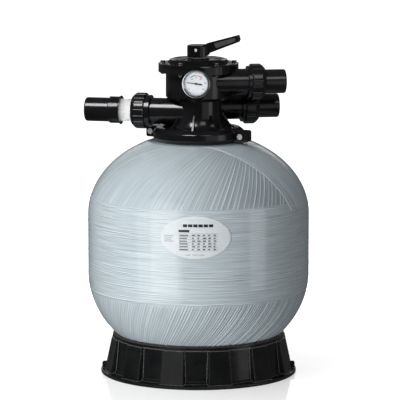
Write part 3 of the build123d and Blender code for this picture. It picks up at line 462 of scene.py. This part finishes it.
def glass_fibre(name):
    """Wound glass fibre under resin: streaks along the strands, a painted highlight on the ridges and
    painted shade in the valleys, a gloss coat.
    """
    nodes, links, shader = new_material(name)
    strand = nodes.new("ShaderNodeAttribute")
    strand.attribute_name = "strand"
    fine = noise(nodes, links, strand.outputs["Vector"], 1.0, 3, (1.7, 0.9, 0))
    broad = noise(nodes, links, strand.outputs["Vector"], 1.0, 3, (0.5, 0.25, 0))
    place = nodes.new("ShaderNodeSeparateXYZ")
    links.new(strand.outputs["Vector"], place.inputs["Vector"])
    ridge = place.outputs["Z"]
    tone = strand_tone(nodes, links, fine, broad)
    # painted highlight on the ridge tops and painted shade in the valleys, from the strand attribute's third
    # value
    tone = towards(nodes, links, times(nodes, links, ridge, 0.9), tone, (0.82, 0.88, 0.9))
    tone = towards(nodes, links, times(nodes, links, ridge, -1.5), tone, (0.2, 0.235, 0.25))
    cloud = noise(nodes, links, nodes.new("ShaderNodeTexCoord").outputs["Object"], 7, 3)
    clouded = nodes.new("ShaderNodeMix")
    clouded.data_type = "RGBA"
    clouded.blend_type = "MULTIPLY"
    clouded.inputs["Factor"].default_value = 0.35
    links.new(tone, clouded.inputs["A"])
    links.new(ramp(nodes, links, cloud, [(0.3, (0.84, 0.86, 0.88)), (0.7, (1, 1, 1))]), clouded.inputs["B"])
    links.new(clouded.outputs["Result"], shader.inputs["Base Color"])
    links.new(noise_range(nodes, links, fine, 0.35, 0.5), shader.inputs["Roughness"])
    shader.inputs["Specular IOR Level"].default_value = 0.3
    shader.inputs["Coat Weight"].default_value = 0.9
    shader.inputs["Coat IOR"].default_value = 1.75
    shader.inputs["Coat Roughness"].default_value = 0.12
    bump(nodes, links, shader, fine, 0.2, 0.0004)


def make_materials():
    """One material for each finish in the record, and the print colours."""
    moulded_plastic(
        "valve_black", (0.003, 0.003, 0.0035), (0.006, 0.006, 0.007), (0.12, 0.22),
        grain_height=0.02, wear_and_glint=0.12,
    )
    # base_black's wide, strong pale edges are painted highlights, standing in for glints on the blocks'
    # fillets
    moulded_plastic(
        "base_black", (0.004, 0.0045, 0.005), (0.009, 0.0095, 0.01), (0.22, 0.32),
        rub_and_glint_width=3, rubbed_and_glint_lift=0.4, grain=1400, grain_height=0.06, wear_and_glint=0.9,
    )
    moulded_plastic("diverter_grey", (0.02, 0.02, 0.022), (0.04, 0.04, 0.042), (0.4, 0.55))
    moulded_plastic("pvc_white", (0.72, 0.72, 0.7), (0.8, 0.8, 0.78), (0.3, 0.45), wear_and_glint=0.1)
    moulded_plastic("washer_white", (0.7, 0.7, 0.68), (0.78, 0.78, 0.75), (0.35, 0.5), wear_and_glint=0.1)
    # grip_grey colours the plates in the lever's recesses, which are a painted reflection
    moulded_plastic("grip_grey", (0.014, 0.014, 0.015), (0.026, 0.026, 0.027), (0.4, 0.55))
    metal("chrome", (0.62, 0.63, 0.65), (0.75, 0.76, 0.78), (0.06, 0.14))
    metal("stainless", (0.22, 0.22, 0.225), (0.38, 0.38, 0.39), (0.2, 0.36), (1, 1, 8))
    metal("brass", (0.5, 0.36, 0.14), (0.68, 0.5, 0.22), (0.2, 0.35), (8, 1, 1))
    rubber("seal_rubber")
    clear_plastic("clear_tube", (1.0, 1.0, 1.0), (0.05, 0.12), 0.6)
    clear_plastic("lens", (0.99, 0.99, 1.0), (0.0, 0.02), 1.0)
    glass_fibre("tank_grp")
    printed("label_white", (0.62, 0.665, 0.685), (0.3, 0.45))
    printed("dial_white", (0.85, 0.88, 0.92))
    printed("needle_black", (0.015, 0.015, 0.017), (0.35, 0.45))
    printed("ink_black", (0.02, 0.02, 0.022))
    printed("ink_dark", (0.1, 0.11, 0.12))
    printed("ink_grey", (0.34, 0.36, 0.38))
    # the blue of the ring round the dial's edge, painted shade from the bezel
    printed("bezel_shade_blue", (0.32, 0.38, 0.62))
    printed("ink_green", (0.03, 0.25, 0.12))
    printed("ink_yellow", (0.85, 0.55, 0.05))
    printed("ink_red", (0.65, 0.04, 0.03))


def dress_nodes():
    """Give every CAD node the material of its slot in the record."""
    for name, node in NODES.items():
        node.data.materials.clear()
        node.data.materials.append(MATERIALS[SLOTS[name]])


# ---------------------------------------------------------------- mesh helpers


def link_mesh(name, points, faces, material, body, smooth=True):
    """A mesh piece from points and faces, riding on a body."""
    mesh = bpy.data.meshes.new(name)
    mesh.from_pydata([tuple(point) for point in points], [], faces)
    mesh.materials.append(material)
    if smooth:
        mesh.shade_smooth()
    piece = bpy.data.objects.new(name, mesh)
    bpy.context.scene.collection.objects.link(piece)
    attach(piece, body)
    return piece


def band_faces(rows, columns, first=0, closed=False):
    """Quads of rows that each close on themselves. If closed, the last row joins the first."""
    index = np.arange(rows * columns).reshape(rows, columns) + first
    if closed:
        index = np.vstack([index, index[:1]])
    right = np.roll(index, -1, axis=1)
    return np.stack([index[:-1], index[1:], right[1:], right[:-1]], axis=-1).reshape(-1, 4)


def grid_faces(rows, columns, first=0):
    """Quads of an open grid."""
    index = np.arange(rows * columns).reshape(rows, columns) + first
    quads = np.stack([index[:-1, :-1], index[1:, :-1], index[1:, 1:], index[:-1, 1:]], axis=-1)
    return quads.reshape(-1, 4)


def bar_faces(first, steps, ring=False):
    """Quads of a bar with four points at each of its steps, and its two ends unless it is a ring."""
    faces = []
    sections = steps if ring else steps + 1
    for step in range(steps):
        near = first + 4 * step
        far = first + 4 * ((step + 1) % sections)
        for k in range(4):
            n = (k + 1) % 4
            faces.append([near + k, near + n, far + n, far + k])
    if not ring:
        last = first + 4 * steps
        faces.append([first + 3, first + 2, first + 1, first])
        faces.append([last, last + 1, last + 2, last + 3])
    return faces


def smooth_noise(u, v, period, seed):
    """Smooth value noise in 0..1 on arrays that broadcast; u wraps round at period lattice cells."""
    lattice = np.random.default_rng(seed).random((period, 256))
    cell_u, cell_v = np.floor(u).astype(int), np.floor(v).astype(int)
    part_u, part_v = u - cell_u, v - cell_v
    ease_u = part_u * part_u * (3 - 2 * part_u)
    ease_v = part_v * part_v * (3 - 2 * part_v)
    here, there = cell_u % period, (cell_u + 1) % period
    low, high = cell_v % 256, (cell_v + 1) % 256
    below = lattice[here, low] * (1 - ease_u) + lattice[there, low] * ease_u
    above = lattice[here, high] * (1 - ease_u) + lattice[there, high] * ease_u
    return below * (1 - ease_v) + above * ease_v


def set_strand(mesh, across, along, ridge=0):
    """Store each point's place across and along the strands and, for the fibre's colour, a value that paints
    highlight where it is positive and shade where it is negative.
    """
    attribute = mesh.attributes.new("strand", "FLOAT_VECTOR", "POINT")
    data = np.zeros((len(mesh.vertices), 3), np.float32)
    data[:, 0] = across
    data[:, 1] = along
    data[:, 2] = ridge
    attribute.data.foreach_set("vector", data.ravel())


# ---------------------------------------------------------------- the wound vessel


def dome_profile(high, rows, r_from, r_to):
    """A dome's meridian downwards or outwards, evenly spaced in angle: radii, heights and their normals."""
    height, centre, sign = (HIGH_DOME_H, HIGH_TANGENT_Z, 1) if high else (LOW_DOME_H, LOW_TANGENT_Z, -1)
    angles = np.linspace(math.acos(r_from / TANK_R), math.acos(min(1, r_to / TANK_R)), rows)
    r, z = TANK_R * np.cos(angles), centre + sign * height * np.sin(angles)
    normal_r, normal_z = np.cos(angles) / TANK_R, sign * np.sin(angles) / height
    length = np.hypot(normal_r, normal_z)
    return r, z, normal_r / length, normal_z / length


def shell_profile():
    """The outside of the vessel from the neck down to the pole: radii, heights and their normals."""
    side_z = np.linspace(HIGH_TANGENT_Z, LOW_TANGENT_Z, SIDE_ROWS + 2)[1:-1]
    side = (np.full(SIDE_ROWS, TANK_R), side_z, np.ones(SIDE_ROWS), np.zeros(SIDE_ROWS))
    upper = dome_profile(True, HIGH_ROWS, WOUND_TOP_R, TANK_R)
    lower = dome_profile(False, LOW_ROWS, TANK_R, WOUND_END_R)
    return [np.concatenate(stretches) for stretches in zip(upper, side, lower)]


def lining_profile():
    """The rest of the outline, left plain: the inside from the bottom up, then over the neck's flange."""
    outline = []
    for angle in np.radians(np.linspace(-84, 60, LINING_ROWS)):
        height, centre = (HIGH_DOME_H, HIGH_TANGENT_Z) if angle > 0 else (LOW_DOME_H, LOW_TANGENT_Z)
        r = max((TANK_R - WALL) * math.cos(angle), LINING_END_R)
        outline.append((r, centre + (height - WALL) * math.sin(angle)))
    outline += [
        (NECK_BORE_R, NECK_FOOT_Z),
        (NECK_BORE_R, NECK_TOP_Z),
        (FLANGE_R, NECK_TOP_Z),
        (FLANGE_R, FLANGE_UNDER_Z),
        (NECK_R, FLANGE_UNDER_Z - 5.5 * MM),
        (NECK_R, FLANGE_UNDER_Z - 10 * MM),
        (SHOULDER_R, FLANGE_UNDER_Z - 10.3 * MM),
    ]
    return np.array(outline).T


def run_lengths(r, z):
    """The distance along a profile at each of its points."""
    return np.concatenate([[0], np.cumsum(np.hypot(np.diff(r), np.diff(z)))])


def sweep_angles(r, z, clockwise):
    """The longitude that a strand turns through along a profile, by the geodesic's constant r sin(angle)."""
    steps = np.hypot(np.diff(r), np.diff(z))
    middle = np.maximum((r[1:] + r[:-1]) / 2, POLAR_R * 1.02)
    turn = POLAR_R / np.sqrt(middle**2 - POLAR_R**2) / middle * steps
    return np.concatenate([[0], np.cumsum(turn)]) * (-1 if clockwise else 1)


def ridge_strength(longitude, z):
    """How strongly the ridges show: most near one longitude on each dome, and none under the hoop band."""
    high = np.clip(np.cos(longitude - HIGH_RIDGE_AT), 0, 1) ** 2
    low = np.clip(np.cos(longitude - LOW_RIDGE_AT), 0, 1) * LOW_RIDGE_GAIN
    high_shows = np.clip((z - HOOP_HIGH + RIDGE_UNDER_HOOP) / RIDGE_FADE, 0, 1)
    low_shows = np.clip((HOOP_LOW - z) / RIDGE_FADE, 0, 1)
    return high * high_shows + low * low_shows


def strand_relief(column, along, seed, ridged, fine_height, ridge_columns):
    """Height of the strands, and of the ridges alone: fine uneven cords, with ridges where ridged says."""
    strand = column // STEPS
    cord = np.sin(math.pi * ((column % STEPS) / STEPS + 0.5 / STEPS)) ** 0.7
    size = np.random.default_rng(seed).random(STRANDS)[strand % STRANDS]
    drift = smooth_noise(strand * 3.7, along * 6, STRANDS * 4, seed + 1)
    # each ridge stands near the middle of its own cell of columns, with its own strength
    place = column / ridge_columns
    cell = np.floor(place).astype(int)
    shift, strength = np.random.default_rng(seed + 2).random((2, STRANDS * STEPS))
    offset = (place - cell - 0.3 - 0.4 * shift[cell]) * ridge_columns
    ridge = np.exp(-((offset / 1.5) ** 2)) * (0.35 + 0.65 * strength[cell]) * (0.6 + 0.4 * drift) * ridged
    fine = cord * (0.06 + 1.1 * size**3 * (0.3 + 0.7 * drift)) * fine_height
    return PROUD + fine + ridge * RIDGE_H, ridge


def neck_fade(r, least):
    """How much of the relief is left near the neck, from least up to all of it."""
    return np.clip((r - FADE_R) / FADE_W, least, 1)[:, None]


def ring_points(r, z, longitude):
    """Points from radii, heights and longitudes that broadcast to rows and columns."""
    r, z, longitude = np.broadcast_arrays(r, z, longitude)
    return np.stack([r * np.cos(longitude), r * np.sin(longitude), z], axis=-1)


def lifted_rows(profile, longitude, lift):
    """Points of a profile swept round and lifted along its normals, in rows down it and columns round it."""
    r, z, normal_r, normal_z = (values[:, None] for values in profile)
    return ring_points(r + normal_r * lift, z + normal_z * lift, longitude)


def wound_shell():
    """The vessel: liner inside, helical windings outside, as one closed mesh."""
    columns = STRANDS * STEPS
    column = np.arange(columns)
    profile = shell_profile()
    r, z = profile[:2]
    along = run_lengths(r, z)
    turn = sweep_angles(r, z, clockwise=True)
    longitude = 2 * math.pi * column / columns + turn[:, None] - turn[HIGH_ROWS - 1]
    ridged = ridge_strength(longitude, z[:, None])
    below = (z < LOW_TANGENT_Z)[:, None]
    fine_height = np.where(below, 0.7, 0.4) * MM
    ridge_columns = np.where(below, LOW_RIDGE_COLUMNS, HIGH_RIDGE_COLUMNS)
    lift, ridge = strand_relief(column, along[:, None], 11, ridged, fine_height, ridge_columns)
    outer = lifted_rows(profile, longitude, lift * np.where(below, 1, neck_fade(r, 0)))

    lining_r, lining_z = lining_profile()
    plain = ring_points(lining_r[:, None], lining_z[:, None], longitude[0])
    rows = np.concatenate([plain, outer])
    points = rows.reshape(-1, 3)
    faces = band_faces(len(rows), columns).tolist()
    pole_in, pole_out = len(points), len(points) + 1
    points = np.vstack([points, [0, 0, lining_z[0]], [0, 0, outer[-1, 0, 2]]])
    last = (len(rows) - 1) * columns
    for i in range(columns):
        j = (i + 1) % columns
        faces.append([pole_in, i, j])
        faces.append([pole_out, last + j, last + i])
    piece = link_mesh("wound_tank", points, faces, MATERIALS["tank_grp"], "tank")

    poles = [0, 0]
    strand_u = np.concatenate([np.tile(column / STEPS, len(rows)), poles])
    strand_v = np.concatenate([np.repeat(np.concatenate([0 * lining_r, along]), columns), poles]) * 10
    # painted highlight on the ridges and painted shade between them where the ridges are strong, for the
    # fibre's colour
    shade = (ridge - 0.3 * ridged).ravel()
    set_strand(piece.data, strand_u, strand_v, np.concatenate([np.zeros(plain.size // 3), shade, poles]))
    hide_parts("tank_shell")


def hoop_streaks(strand, phase):
    """Raised streaks along the hoop strands, at random places, between 0 and 1."""
    column = np.arange(HOOP_COLUMNS)
    drift = smooth_noise(column / 12, strand, HOOP_COLUMNS // 12, 21)
    second = smooth_noise(column / 5, strand + 0.5, HOOP_COLUMNS // 5, 22)
    strands = HOOP_ROWS // ROWS_PER_HOOP + 1
    size = rng.random(strands)[strand]
    offset = phase * ROWS_PER_HOOP - 0.8 - 2.4 * rng.random(strands)[strand]
    return np.exp(-((offset / 0.9) ** 2)) * np.clip(drift * 2.6 - 0.9, 0, 1) * (0.3 + 0.7 * second) * size


def hoop_band():
    """The hoop windings round the middle: a closed band over the ends of the helical ones."""
    column, row = np.arange(HOOP_COLUMNS), np.arange(HOOP_ROWS)
    z = np.linspace(HOOP_HIGH, HOOP_LOW, HOOP_ROWS)
    over = np.clip((z - HIGH_TANGENT_Z) / HIGH_DOME_H, 0, 1)
    under = np.clip((LOW_TANGENT_Z - z) / LOW_DOME_H, 0, 1)
    r = TANK_R * np.sqrt(1 - over**2 - under**2)
    longitude = 2 * math.pi * column / HOOP_COLUMNS
    strand = (row // ROWS_PER_HOOP)[:, None]
    phase = (row % ROWS_PER_HOOP / ROWS_PER_HOOP)[:, None]
    streak = hoop_streaks(strand, phase)
    edge = np.minimum(row, row[::-1])[:, None]
    lift = PROUD + HOOP_LIFT + (0.05 * np.sin(math.pi * phase) + 0.9 * streak) * MM
    lift = np.where(edge == 0, 0.2 * MM, lift)
    ragged = (smooth_noise(column / 8, 0 * column + 0.5, HOOP_COLUMNS // 8, 23) - 0.5) * RAGGED
    outer = ring_points(r[:, None] + lift, z[:, None] + ragged * np.clip(1 - edge / 10, 0, 1), longitude)
    inner_r = np.array([r[-1], TANK_R, TANK_R, r[0]]) - HOOP_UNDER
    inner_z = np.array([HOOP_LOW, LOW_TANGENT_Z, HIGH_TANGENT_Z, HOOP_HIGH])
    rows = np.concatenate([outer, ring_points(inner_r[:, None], inner_z[:, None], longitude)])
    faces = band_faces(len(rows), HOOP_COLUMNS, closed=True).tolist()
    points = rows.reshape(-1, 3)
    piece = link_mesh("hoop_winding", points, faces, MATERIALS["tank_grp"], "tank")
    strand_u = np.repeat(np.concatenate([(strand + phase).ravel(), 0 * inner_r]), HOOP_COLUMNS)
    strand_v = np.tile(column * 0.04, len(rows))
    # painted highlight on the raised streaks and painted shade two rows below them, for the fibre's colour
    shade = (1.5 * streak - np.roll(streak, 2, axis=0)).ravel()
    set_strand(piece.data, strand_u, strand_v, np.concatenate([shade, np.zeros(4 * HOOP_COLUMNS)]))


def crossing_ply():
    """The last helical ply, wound the other way over the right and rear of the upper dome."""
    column = np.arange(PLY_COLUMNS)
    profile = dome_profile(True, PLY_ROWS, WOUND_TOP_R, TANK_R * 0.992)
    r, z = profile[:2]
    along = run_lengths(r, z)
    turn = sweep_angles(r, z, clockwise=False)
    longitude = np.linspace(PLY_START, PLY_END, PLY_COLUMNS) + (turn - turn[-1])[:, None]
    relief = strand_relief(column, along[:, None], 31, 0 * longitude, 0.45 * MM, HIGH_RIDGE_COLUMNS)[0]
    edge = np.minimum(column, column[::-1])
    cords = np.where((edge > 1) & (edge < 6), 1.6, 0) + np.where((edge > 10) & (edge < 14), 1.1, 0)
    lift = 0.5 * relief + PLY_THICK + cords * MM
    lift[:, [0, -1]] = 0.0
    outer = lifted_rows(profile, longitude, lift * neck_fade(r, 0.25))
    inner = lifted_rows(profile, longitude, -PLY_UNDER)
    points = np.concatenate([outer.reshape(-1, 3), inner.reshape(-1, 3)])
    below = PLY_ROWS * PLY_COLUMNS
    faces = grid_faces(PLY_ROWS, PLY_COLUMNS).tolist()
    faces += grid_faces(PLY_ROWS, PLY_COLUMNS, below)[:, ::-1].tolist()
    index = np.arange(below).reshape(PLY_ROWS, PLY_COLUMNS)
    border = [*index[0], *index[1:, -1], *index[-1, -2::-1], *index[-2:0:-1, 0]]
    for a, b in zip(border, border[1:] + border[:1]):
        faces.append([a, b, b + below, a + below])
    piece = link_mesh("crossing_ply", points, faces, MATERIALS["tank_grp"], "tank")
    strand_u = np.tile(column / STEPS, 2 * PLY_ROWS)
    strand_v = np.tile(np.repeat(along * 10, PLY_COLUMNS), 2)
    set_strand(piece.data, strand_u, strand_v)


# ---------------------------------------------------------------- the oval label


def tank_surface(x, z, lift):
    """A point of the vessel's front at a given x and height, lifted off it."""
    over = max(0.0, (z - HIGH_TANGENT_Z) / HIGH_DOME_H)
    r = TANK_R * math.sqrt(1 - over * over) + lift
    return (x, -math.sqrt(r * r - x * x), z)


def label_ripple(x, z):
    """How the windings under the label lift its face."""
    strands = 0.16 * MM * math.sin(z * 1150 + 3 * math.sin(x * 38) + 2 * math.sin(x * 91 + 1))
    return strands + 0.10 * MM * math.sin(z * 410 + x * 60)


def label_sheet():
    """The oval label, rippled by the windings under it, as a thin closed sheet."""
    points = []
    for side in (0, 1):
        for ring in range(1, LABEL_RINGS + 1):
            for spoke in range(LABEL_SPOKES):
                turn = 2 * math.pi * spoke / LABEL_SPOKES
                x = LABEL_X + LABEL_HALF_W * ring / LABEL_RINGS * math.cos(turn)
                z = LABEL_Z + LABEL_HALF_H * ring / LABEL_RINGS * math.sin(turn)
                dip = -0.35 * MM if ring == LABEL_RINGS else 0
                face = LABEL_LIFT + label_ripple(x, z) + dip
                points.append(tank_surface(x, z, face if side == 0 else LABEL_LIFT - LABEL_THICK))
    faces = []
    for side in (0, 1):
        first = side * LABEL_RINGS * LABEL_SPOKES
        quads = band_faces(LABEL_RINGS, LABEL_SPOKES, first)
        faces += (quads if side == 0 else quads[:, ::-1]).tolist()
        centre = len(points)
        points.append(tank_surface(LABEL_X, LABEL_Z, LABEL_LIFT - side * LABEL_THICK))
        for j in range(LABEL_SPOKES):
            k = (j + 1) % LABEL_SPOKES
            faces.append([centre, first + j, first + k] if side == 0 else [centre, first + k, first + j])
    rim = (LABEL_RINGS - 1) * LABEL_SPOKES
    under = rim + LABEL_RINGS * LABEL_SPOKES
    for j in range(LABEL_SPOKES):
        k = (j + 1) % LABEL_SPOKES
        faces.append([rim + k, rim + j, under + j, under + k])
    piece = link_mesh("label_sheet", points, faces, MATERIALS["label_white"], "tank")
    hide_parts("tank_label")


def label_box(x, z, width, height):
    """A mark's ends and edges, from its lower left corner and size in mm, taken from the label's centre."""
    x0, z0 = LABEL_X + x * MM, LABEL_Z + z * MM
    return (x0, z0, x0 + width * MM, z0 + height * MM)


def print_patch(name, boxes, material):
    """Flat printed marks on the label: thin bars that follow the tank's curve."""
    points, faces = [], []
    for x0, z0, x1, z1 in boxes:
        steps = max(2, int((x1 - x0) / (6 * MM)) + 2) - 1
        faces += bar_faces(len(points), steps)
        for x in np.linspace(x0, x1, steps + 1):
            for z, out in ((z0, -0.3 * MM), (z1, -0.3 * MM), (z1, 0.12 * MM), (z0, 0.12 * MM)):
                points.append(tank_surface(x, z, PRINT_LIFT + out))
    link_mesh(name, points, faces, material, "tank", smooth=False)


def label_print():
    """Generic marks: a row of title blocks, a black bar, a ruled table and small notes. No lettering."""
    print_patch("label_bar", [label_box(-40, 13, 25, 5.5)], MATERIALS["ink_black"])
    titles = [label_box(-30 + 12 * i, 25, 10, 6.5) for i in range(6)]
    print_patch("label_title", titles, MATERIALS["ink_black"])
    line = 6.6
    rules = [label_box(-40, 9 - line * i, 91, 0.8) for i in range(7)]
    print_patch("label_rules", rules, MATERIALS["ink_grey"])
    cells = []
    widths = np.random.default_rng(5)
    for row in range(6):
        z = 4.4 - line * row
        cells.append(label_box(-38, z, widths.uniform(14, 22), 2.4))
        cells += [label_box(-9 + 12.5 * i, z, widths.uniform(4, 8), 2.8) for i in range(5)]
    print_patch("label_cells", cells, MATERIALS["ink_dark"])
    notes = [label_box(-73, 4 - 4.4 * i, widths.uniform(15, 23), 1.6) for i in range(4)]
    notes += [label_box(-24 + 16 * i, -41, 12, 1.8) for i in range(3)]
    print_patch("label_notes", notes, MATERIALS["ink_grey"])


# ---------------------------------------------------------------- the dial's print


def on_dial(radius, angle, lift):
    """A point on the dial, by radius and angle in degrees from three o'clock."""
    turn = math.radians(angle)
    place = GAUGE_OUT * (DIAL_FACE + lift) + GAUGE_RIGHT * (radius * math.cos(turn))
    return place + Vector((0, 0, GAUGE_Z + radius * math.sin(turn)))


def dial_arcs(name, arcs, material):
    """Printed arcs, thin solids on the dial: (inner radius, outer radius, from, to) in mm and degrees."""
    points, faces = [], []
    for inner, outer, start, end in arcs:
        steps = max(1, int((end - start) / ARC_STEP))
        ring = end - start == 360
        faces += bar_faces(len(points), steps, ring)
        for angle in np.linspace(start, end, steps + 1)[: steps if ring else None]:
            for radius, lift in ((inner, 0.08), (outer, 0.08), (outer, -0.05), (inner, -0.05)):
                points.append(on_dial(radius * MM, angle, lift * MM))
    link_mesh(name, points, faces, material, "tank", smooth=False)


def number_mesh(number):
    """A number as a mesh, thin and centred."""
    curve = bpy.data.curves.new("number", "FONT")
    curve.body = str(number)
    curve.size = 4.6 * MM
    curve.extrude = 0.05 * MM
    curve.align_x = "CENTER"
    curve.align_y = "CENTER"
    maker = bpy.data.objects.new("number", curve)
    bpy.context.scene.collection.objects.link(maker)
    mesh = bpy.data.meshes.new_from_object(maker.evaluated_get(bpy.context.evaluated_depsgraph_get()))
    bpy.data.objects.remove(maker)
    bpy.data.curves.remove(curve)
    return mesh


def dial_numbers(material):
    """Plain numbers round the dial, further in under the coloured band."""
    points, faces = [], []
    for index in range(DIAL_STEPS + 1):
        mesh = number_mesh(10 * index)
        radius = (15 if index in (2, 3, 4) else 20.5) * MM
        centre = on_dial(radius, DIAL_START - DIAL_SWEEP * index / DIAL_STEPS, 0.03 * MM)
        first = len(points)
        for vertex in mesh.vertices:
            x, up, out = vertex.co
            points.append(centre + GAUGE_RIGHT * x + GAUGE_OUT * out + Vector((0, 0, up)))
        faces += [[first + k for k in polygon.vertices] for polygon in mesh.polygons]
        bpy.data.meshes.remove(mesh)
    link_mesh("dial_numbers", points, faces, material, "tank", smooth=False)


def dial_print():
    """Tick marks, a colour band over the middle of the scale, and numbers."""
    ticks = []
    for index in range(DIAL_TICKS + 1):
        angle = DIAL_START - DIAL_SWEEP * index / DIAL_TICKS
        inner, half = (23.4, 0.9) if index % 5 == 0 else (24.8, 0.5)
        ticks.append((inner, 26.6, angle - half, angle + half))
    dial_arcs("dial_ticks", ticks, MATERIALS["ink_black"])
    # a blue ring round the dial's edge: painted shade from the bezel
    dial_arcs("dial_ring", [(26.7, 27.6, 0, 360)], MATERIALS["bezel_shade_blue"])
    for colour, start, end in (("green", 94, 132), ("yellow", 73, 94), ("red", 43, 73)):
        dial_arcs("dial_" + colour, [(18.6, 20.6, start, end)], MATERIALS["ink_" + colour])
    dial_numbers(MATERIALS["ink_black"])


# ---------------------------------------------------------------- the grip's painted reflection and the spring


def grip_inserts():
    """Grey plates in the finger recesses on both sides of the lever, a painted reflection of faint light
    there.
    """
    along = Vector((math.cos(HANDLE_TURN), math.sin(HANDLE_TURN), 0))
    across = Vector((math.sin(HANDLE_TURN), -math.cos(HANDLE_TURN), 0))
    # distance along the lever and height, in mm
    outline = [(46, 782), (92, 799), (94, 803.5), (92, 807.8), (40, 793.2)]
    corners = len(outline)
    points, faces = [], []
    for side in (1, -1):
        first = len(points)
        for depth in (GRIP_FLOOR + GRIP_PROUD, GRIP_FLOOR - GRIP_SUNK):
            for u, z in outline:
                points.append(along * (u * MM) + across * (side * depth) + Vector((0, 0, z * MM)))
        front = list(range(first, first + corners))[::side]
        faces.append(front)
        faces.append([corner + corners for corner in front[::-1]])
        for a, b in zip(front, front[1:] + front[:1]):
            faces.append([b, a, a + corners, b + corners])
    link_mesh("grip_inserts", points, faces, MATERIALS["grip_grey"], "handle", smooth=False)


def coil_spring():
    """The rotor's spring, a copy of the CAD part riding on the selector. On the real valve the lever's press
    lifts the rotor and squeezes the spring against the lid.
    """
    node = NODES["rotor_spring"]
    mesh = node.data.copy()
    mesh.transform(node.matrix_world)
    piece = bpy.data.objects.new("coil_spring", mesh)
    bpy.context.scene.collection.objects.link(piece)
    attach(piece, "selector")
    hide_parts("rotor_spring")
    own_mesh(piece)


# ---------------------------------------------------------------- build

make_materials()
dress_nodes()
make_camera()
make_world()
make_floor()
make_lights()
wound_shell()
hoop_band()
crossing_ply()
label_sheet()
label_print()
dial_print()
grip_inserts()
coil_spring()
